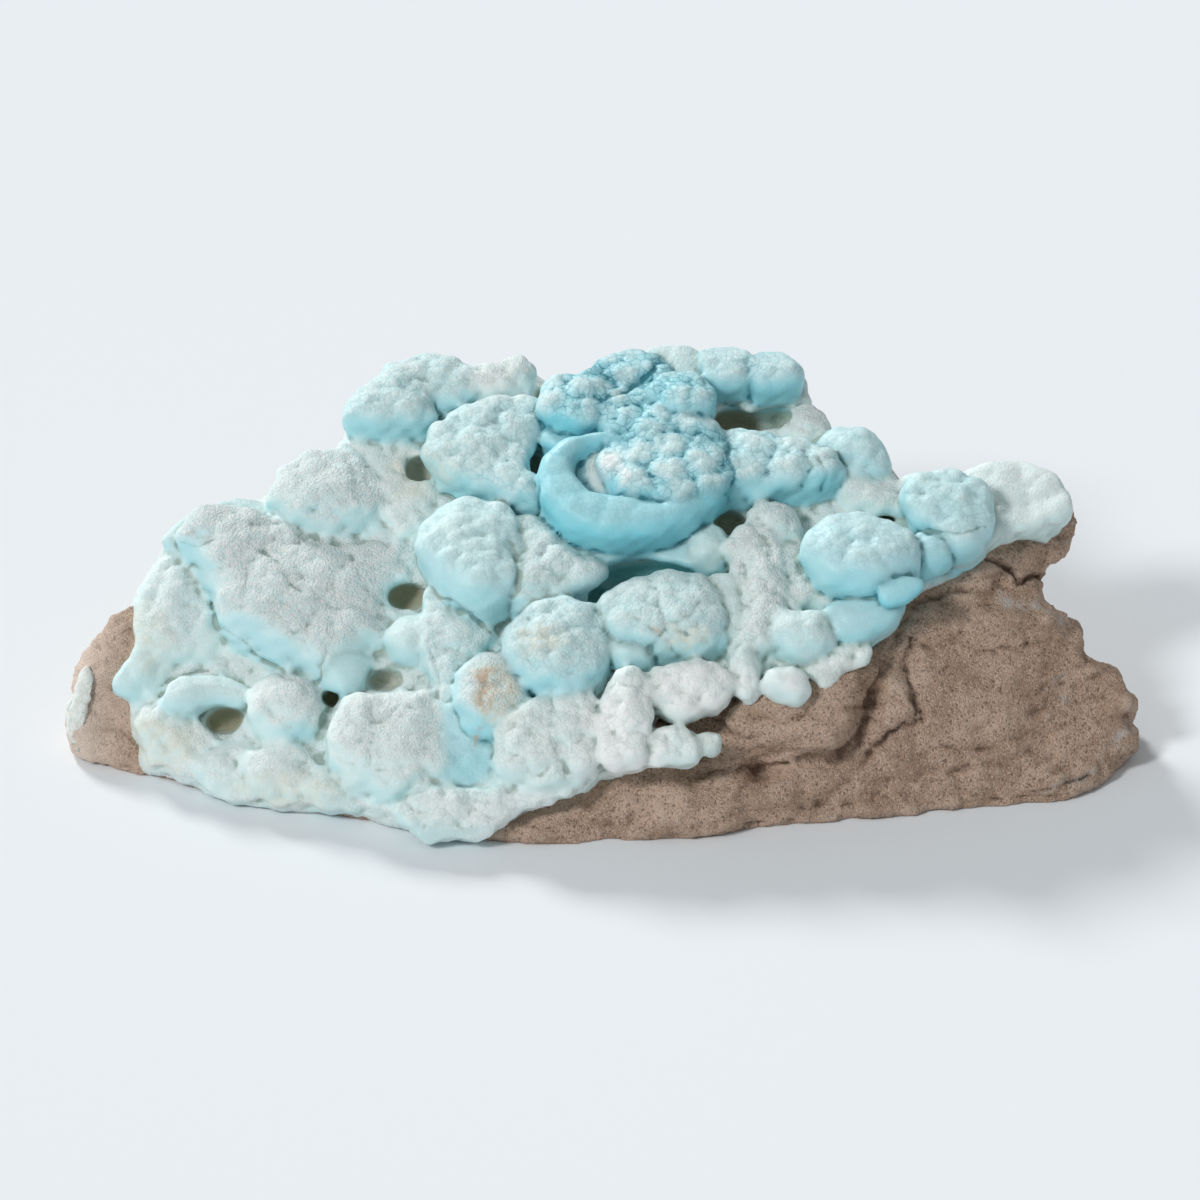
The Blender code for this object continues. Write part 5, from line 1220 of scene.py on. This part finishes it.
aragonite = {
    "deep": linear(134, 216, 229),
    "pale": linear(236, 246, 241),
    "frost": linear(244, 246, 243),
    "pit": linear(224, 232, 229),
    "cream": linear(228, 218, 194),
    "rust": linear(206, 158, 118),
    "white": linear(246, 248, 246),
    # painted shade for the creases, crevices, seams and crease lines, on blue and on pale lobes
    "crease": linear(56, 130, 144),
    "paleCreaseShade": linear(154, 174, 164),
    "soil": linear(160, 150, 112),
    # painted shade, deep teal, at the bottom of shaded hollows
    "tealShade": linear(88, 164, 164),
    "grain": 0.38,  # mm
    "beads": 1.35,  # mm
    "bump": 0.0004,  # m
}


def buildAragonite():
    material, tree, shader, place = startMaterial("blueAragonite")
    names = ("blue", "frost", "swell", "face", "crease", "crevice", "seam", "line",
             "cream", "rust", "white", "soil", "tealShade")
    masks = {name: attributeOf(tree, name) for name in names}
    blue, frost = masks["blue"], masks["frost"]
    grain = grainOf(tree, place, aragonite["grain"])
    dome, lines = beadSkin(tree, place, aragonite["beads"])
    fine = times(tree, masks["swell"], masks["face"])

    mottled = times(tree, minus(tree, grain["Mottle"], 0.5), 0.5)
    tint = plus(tree, blue, times(tree, mottled, mixValue(tree, blue, 0.4, 1.0)), clamp=True)
    colour = mixColour(tree, calc(tree, "POWER", tint, 0.8), aragonite["pale"], aragonite["deep"])

    white = times(tree, frost, stretchRange(tree, grain["Speck"], 0.0, 1.0, 0.6, 1.0), clamp=True)
    domed = stretchRange(tree, dome, 0.4, 1.0, 0.4, 1.1)
    white = times(tree, white, mixValue(tree, fine, 1.0, domed), clamp=True)
    pitted = stretchRange(tree, grain["Height"], 0.3, 0.62)
    colour = mixColour(tree, white, colour, mixColour(tree, pitted, aragonite["pit"], aragonite["frost"]))

    patchy = stretchRange(tree, grain["Mottle"], 0.3, 0.55)
    stain = stretchRange(tree, noiseOf(tree, place, 0.55, 4.0, 0.6), 0.4, 0.6)
    creamy = mixValue(tree, stain, 0.4, 1.0)
    for name, factor in (("white", patchy), ("cream", creamy), ("rust", stain)):
        colour = mixColour(tree, times(tree, masks[name], factor), colour, aragonite[name])

    # Painted shade: creases between beads, crevices and seams between lobes, the crease lines and the lines
    # between fine beads are darkened.
    creaseShade = stretchRange(tree, masks["crease"], 0.01, 0.22, 0.0, 0.8)
    dark = plus(tree, creaseShade, stretchRange(tree, masks["crevice"], 0.12, 1.1, 0.0, 0.55), clamp=True)
    dark = plus(tree, dark, times(tree, masks["seam"], 0.45), clamp=True)
    dark = plus(tree, dark, times(tree, masks["line"], 0.5), clamp=True)
    between = times(tree, times(tree, lines, fine), mixValue(tree, blue, 0.22, 0.65))
    dark = times(tree, plus(tree, dark, between, clamp=True), mixValue(tree, blue, 0.75, 1.0), clamp=True)
    bluish = stretchRange(tree, blue, 0.3, 0.75)
    shadow = mixColour(tree, bluish, aragonite["paleCreaseShade"], aragonite["crease"])
    colour = mixColour(tree, dark, colour, shadow)
    # Painted shade in deep teal, and brown dust, at the bottom of the hollows.
    for name in ("tealShade", "soil"):
        colour = mixColour(tree, masks[name], colour, aragonite[name])
    feed(tree, shader.inputs["Base Color"], colour)

    feed(tree, shader.inputs["Roughness"], mixValue(tree, frost, 0.38, 0.8))
    velvet = times(tree, grain["Height"], mixValue(tree, times(tree, frost, frost), 0.1, 1.2))
    relief = plus(tree, velvet, times(tree, dome, times(tree, fine, 0.6)))
    bumpOut(tree, shader, relief, aragonite["bump"])
    shader.inputs["Subsurface Weight"].default_value = 0.25
    shader.inputs["Subsurface Radius"].default_value = (0.8, 1.0, 1.0)
    shader.inputs["Subsurface Scale"].default_value = 0.0012
    shader.inputs["Specular IOR Level"].default_value = 0.35
    return material


stone = {
    "voxel": 0.55,  # mm
    "smoothing": 6,  # rounds
    "underCrust": -3.5,  # mm from the crust's edge, from where the stone can't be seen
    "triangles": 196000,
    "sizes": {  # mm
        "Chip Size": 8.0,
        "Chip Height": 1.5,
        "Unevenness": 1.5,
        "Sand": 0.7,
        "Sand Height": 0.1,
        "Strata": 2.6,
        "Ledge Height": 0.3,
    },
    "grains": (0.22, 0.34),  # mm
    "bump": 0.0004,  # m
    "light": linear(224, 194, 173),
    "dark": linear(188, 158, 136),
    # dark and light specks of the sand; the dark one is also painted shade in creases and cracks, the light
    # one also painted highlight and wear on ridges
    "darkSpeckAndShade": linear(112, 90, 75),
    "lightSpeckAndHighlight": linear(222, 204, 186),
    "calcite": linear(214, 204, 196),
    # calcite at the west end, with painted light over it
    "westPaleAndPaintedLight": linear(250, 232, 217),
}


def buildStoneTree():
    tree, start, end = newTree("brokenStone", stone["sizes"])
    place = inMillimetres(tree, addNode(tree, "GeometryNodeInputPosition").outputs[0])
    bent = bend(tree, place, scale=0.25, detail=2.0, amount=5.0)
    sizes = start.outputs
    chip = domeOf(tree, vectorCalc(tree, "MULTIPLY", bent, (0.55, 0.8, 1.5)), sizes["Chip Size"])
    chips = times(tree, minus(tree, chip, 0.5), sizes["Chip Height"])
    uneven = minus(tree, noiseOf(tree, place, 0.2, 7.0, 0.6), 0.5)
    uneven = times(tree, uneven, times(tree, sizes["Unevenness"], 2.0))
    up = addNode(tree, "ShaderNodeSeparateXYZ", {0: bent}).outputs["Z"]
    ledge = calc(tree, "PINGPONG", calc(tree, "DIVIDE", up, sizes["Strata"]), 0.5)
    ledges = times(tree, stretchRange(tree, ledge, 0.1, 0.3), sizes["Ledge Height"])
    sandy = times(tree, minus(tree, domeOf(tree, place, sizes["Sand"]), 0.5), sizes["Sand Height"])
    height = plus(tree, plus(tree, chips, plus(tree, uneven, ledges)), sandy)
    height = minus(tree, height, plus(tree, namedMask(tree, "crack"), namedMask(tree, "dent")))
    pushOut(tree, start, end, times(tree, height, namedMask(tree, "bare")))
    return tree


# Lines on the stone's east face, in pixels; width and depth are mm.
# Cracks cut in and are darkened with painted shade, pale veins only colour.
stoneCracks = {
    "fold": dict(line=[(905, 622), (893, 650), (878, 684), (866, 715), (858, 742), (838, 752), (800, 758)],
                 width=1.3, depth=0.5),
    "foldHeart": dict(line=[(880, 664), (868, 700), (858, 736), (836, 752)], width=0.5, depth=0.4),
    "tongue": dict(line=[(912, 640), (904, 668), (910, 696), (924, 716)], width=0.9, depth=0.8),
    "lip": dict(line=[(924, 720), (900, 728), (882, 738), (868, 752)], width=0.6, depth=0.8),
    "slant": dict(line=[(870, 752), (846, 780), (820, 800)], width=1.4, depth=0.7),
    "brow": dict(line=[(912, 604), (950, 590), (990, 596)], width=1.1, depth=0.7),
    "shelf": dict(line=[(950, 772), (990, 764), (1030, 752)], width=1.0, depth=0.5),
    "chip": dict(line=[(912, 688), (918, 705), (914, 722)], width=0.4, depth=0.4),
    "neck": dict(line=[(985, 562), (1005, 566), (1020, 580), (1046, 578)], width=0.8, depth=1.2),
    "toe": dict(line=[(1030, 796), (1060, 788), (1090, 772)], width=0.5, depth=0.6),
}
stoneVeins = {
    "brow": dict(line=[(1000, 604), (1040, 606), (1064, 622)], width=1.0),
    "tip": dict(line=[(1100, 755), (1120, 740), (1132, 726)], width=1.3),
    "side": dict(line=[(1062, 702), (1080, 694)], width=0.9),
    "toe": dict(line=[(1040, 796), (1070, 784), (1096, 770)], width=0.8),
    "foot": dict(line=[(1050, 690), (1066, 676)], width=0.6),
}

# Dents in the stone and, where the depth is below 0, bulges: middle and half sizes in pixels, depth in mm.
stoneDents = {
    "neck": dict(middle=(1062, 594), half=(30, 24), depth=1.6),
    "shoulder": dict(middle=(1106, 644), half=(28, 28), depth=2.6),
    "knob": dict(middle=(1128, 702), half=(14, 14), depth=-1.0),
    "knobUnder": dict(middle=(1134, 724), half=(12, 10), depth=0.8),
    "belly": dict(middle=(790, 714), half=(70, 36), depth=-1.2),
    "gully": dict(middle=(752, 776), half=(26, 40), depth=0.4),
    "gullyWest": dict(middle=(696, 776), half=(22, 28), depth=0.7),
    "tongue": dict(middle=(892, 698), half=(18, 38), depth=-1.0),
    "underFold": dict(middle=(872, 790), half=(50, 20), depth=0.8),
    "footEast": dict(middle=(1010, 800), half=(40, 14), depth=0.8),
    "saddleBack": dict(middle=(898, 472), half=(40, 22), depth=3.4),
    "northBack": dict(middle=(535, 372), half=(40, 16), depth=2.0),
}
# The stone's pale west end is calcite with painted light over it.
westEnd = [(70, 0), (140, 0)]  # pixels, from where the stone's pale west end fades out to where it is gone


def remeshNode(name, node, voxel, smoothing):  # a fine, smoothed copy of a solid
    bm = bmesh.new()
    bm.from_mesh(node.data)
    bmesh.ops.remove_doubles(bm, verts=bm.verts, dist=1e-6)
    mesh = bpy.data.meshes.new(name)
    bm.to_mesh(mesh)
    bm.free()
    piece = addObject(name, mesh)
    remesh = piece.modifiers.new("fine", "REMESH")
    remesh.mode = "VOXEL"
    remesh.voxel_size = voxel * millimetre
    piece.modifiers.new("smooth", "SMOOTH").iterations = smoothing
    applyAll(piece)
    return piece


def stoneMasks(mesh):  # where the stone is cracked, veined, dented, pale and clear of the floor
    plane = fromWorld(pointsOf(mesh))
    height = pointsOf(mesh)[:, 2] / millimetre
    front = ramp(normalsOf(mesh) @ towardsCamera, -0.1, 0.2)
    crack = sum(item["depth"] * nearLine(plane, item["line"], item["width"]) for item in stoneCracks.values())
    vein = sum(nearLine(plane, item["line"], item["width"]) for item in stoneVeins.values())
    setMask(mesh, "crack", crack * front)
    setMask(mesh, "vein", np.clip(vein, 0, 1) * front)
    dent = np.zeros(len(plane))
    for item in stoneDents.values():
        mx, mh = toPlane(item["middle"])
        rx, rh = np.array(item["half"]) * pixel
        away = np.hypot((plane[:, 0] - mx) / rx, (plane[:, 1] - mh) / rh)
        dent += item["depth"] * (1 - ramp(away, 0.2, 1.1))
    setMask(mesh, "dent", dent)
    setMask(mesh, "bare", ramp(height, 0.0, 0.8))
    setMask(mesh, "pale", 1 - ramp(plane[:, 0], *toPlane(westEnd)[:, 0]))


def buildStone(node):
    piece = remeshNode("sandstone_body", node, stone["voxel"], stone["smoothing"])
    plane = fromWorld(pointsOf(piece.data))
    facing = normalsOf(piece.data) @ towardsCamera
    edge = sampleRaster(crustEdge, plane[:, 0], plane[:, 1])
    underneath = pointsOf(piece.data)[:, 2] < 0.05 * millimetre
    hidden = ((facing > 0) & (edge < stone["underCrust"])) | underneath
    thinOut(piece, hidden, stone["triangles"])
    stoneMasks(piece.data)
    runTree(piece, buildStoneTree(), stone["sizes"])
    setMask(piece.data, "crease", creaseMask(piece.data, 2))
    keepInside(piece.data)
    return piece


def buildSandstone():
    material, tree, shader, place = startMaterial("brownSandstone")
    grain, coarse = (grainOf(tree, place, size) for size in stone["grains"])
    crease, crack, vein, pale = (attributeOf(tree, name) for name in ("crease", "crack", "vein", "pale"))
    patchy = plus(tree, grain["Mottle"], times(tree, minus(tree, grain["Speck"], 0.5), 0.34))
    streaks = stretchRange(tree, noiseOf(tree, place, 0.6, 5.0, 0.65), 0.42, 0.60)
    coats = (
        ("lightSpeckAndHighlight", stretchRange(tree, grain["Speck"], 0.86, 0.98, 0.0, 0.6)),
        ("darkSpeckAndShade", stretchRange(tree, coarse["Speck"], 0.16, 0.04, 0.0, 0.55)),
        ("calcite", times(tree, vein, streaks)),
        # the west end paler: calcite, with painted light
        ("westPaleAndPaintedLight", times(tree, pale, 0.85)),
        # Painted shade in the creases and cracks, and lighter ridges: painted highlight and wear.
        ("darkSpeckAndShade", stretchRange(tree, crease, 0.05, 0.5, 0.0, 0.7)),
        ("lightSpeckAndHighlight", stretchRange(tree, crease, -0.05, -0.5, 0.0, 0.35)),
        ("darkSpeckAndShade", times(tree, crack, 0.45)),
    )
    colour = mixColour(tree, stretchRange(tree, patchy, 0.35, 0.65), stone["dark"], stone["light"])
    for name, factor in coats:
        colour = mixColour(tree, factor, colour, stone[name])
    feed(tree, shader.inputs["Base Color"], colour)
    bumpOut(tree, shader, plus(tree, grain["Height"], coarse["Height"]), stone["bump"])
    shader.inputs["Roughness"].default_value = 0.9
    shader.inputs["Specular IOR Level"].default_value = 0.2
    return material


film = {
    "voxel": 0.25,  # mm
    "smoothing": 3,  # rounds
    "granuleHeight": 0.12,  # mm
    "masks": dict(blue=0.03, frost=0.6, bead=0.2, swell=0.9, lump=1.0, face=1.0, soil=0.0, tealShade=0.0, seam=0.0,
                  line=0.0, cream=0.2, rust=0.0, white=0.6),
}


def buildFilm(node):  # the white film on the stone's west tip
    piece = remeshNode("west_tip_film", node, film["voxel"], film["smoothing"])
    count = len(piece.data.vertices)
    for name, value in film["masks"].items():
        setMask(piece.data, name, np.full(count, value))
    sizes = {**beads, "Granule Height": film["granuleHeight"]}
    runTree(piece, bpy.data.node_groups["botryoidalBeads"], sizes)
    setCreases(piece.data)
    return piece


def finishPiece(piece, material, node):  # dresses a piece and puts it in place of its solid
    piece.data.materials.clear()
    piece.data.materials.append(material)
    piece.data.shade_smooth()
    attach(piece, "root")
    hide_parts(node)
    piece.data.calc_loop_triangles()
    print(piece.name, len(piece.data.loop_triangles), "triangles")


aragoniteMaterial = buildAragonite()
crustPiece = buildCrust()
finishPiece(crustPiece, aragoniteMaterial, "aragonite_crust")
stonePiece = buildStone(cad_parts["matrix_rock"])
finishPiece(stonePiece, buildSandstone(), "matrix_rock")
filmPiece = buildFilm(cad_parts["west_end_crust"])
finishPiece(filmPiece, aragoniteMaterial, "west_end_crust")


studio = {
    "floor": linear(236, 240, 243),
    "world": (0.93, 0.97, 1.0, 1),
    "worldStrength": 0.345,
    "floorReach": 6.0,  # m, each way
    "suns": {  # degrees: azimuth 0 stands behind the camera, 90 to its right
        "key": dict(azimuth=-48, elevation=40, strength=1.45, softness=14),
        "back": dict(azimuth=-150, elevation=34, strength=1.95, softness=12),
    },
    "lens": 500,  # mm, long enough to keep lines parallel
    "distance": 2.5,  # m
}


def buildFloor():
    reach = studio["floorReach"]
    corners = np.array([(-1, -1, 0), (1, -1, 0), (1, 1, 0), (-1, 1, 0)]) * reach
    floor = addObject("studio_floor", meshOf("floor", corners, np.array([[0, 1, 2, 3]])))
    material = bpy.data.materials.new("paleFloor")
    material.use_nodes = True
    shader = material.node_tree.nodes["Principled BSDF"]
    shader.inputs["Base Color"].default_value = studio["floor"]
    shader.inputs["Roughness"].default_value = 0.95
    shader.inputs["Specular IOR Level"].default_value = 0.0
    floor.data.materials.append(material)


def addSun(name, azimuth, elevation, strength, softness):
    data = bpy.data.lights.new(name, "SUN")
    data.energy = strength
    data.angle = math.radians(softness)
    sun = addObject(name, data)
    a, e = math.radians(azimuth), math.radians(elevation)
    away = Vector((math.sin(a) * math.cos(e), -math.cos(a) * math.cos(e), math.sin(e)))
    sun.rotation_euler = away.to_track_quat("Z", "Y").to_euler()


def addCamera():
    data = bpy.data.cameras.new("camera")
    camera = addObject("camera", data)
    data.lens = studio["lens"]
    data.sensor_width = picture["width"] * pixel * millimetre / studio["distance"] * studio["lens"]
    data.clip_end = 100
    x, h = toPlane(picture["aim"])
    aim = Vector(toWorld(np.array([[x, h, float(slopeOut(x, h))]]))[0])
    back = Vector(towardsCamera)
    camera.location = aim + back * studio["distance"]
    camera.rotation_euler = back.to_track_quat("Z", "Y").to_euler()
    bpy.context.scene.camera = camera


def buildStudio():
    buildFloor()
    world = bpy.data.worlds.new("studio")
    world.use_nodes = True
    background = world.node_tree.nodes["Background"]
    background.inputs["Color"].default_value = studio["world"]
    background.inputs["Strength"].default_value = studio["worldStrength"]
    bpy.context.scene.world = world
    for name, sun in studio["suns"].items():
        addSun(name, **sun)
    addCamera()
    bpy.context.scene.view_settings.view_transform = "Standard"


buildStudio()
print("studio ready")
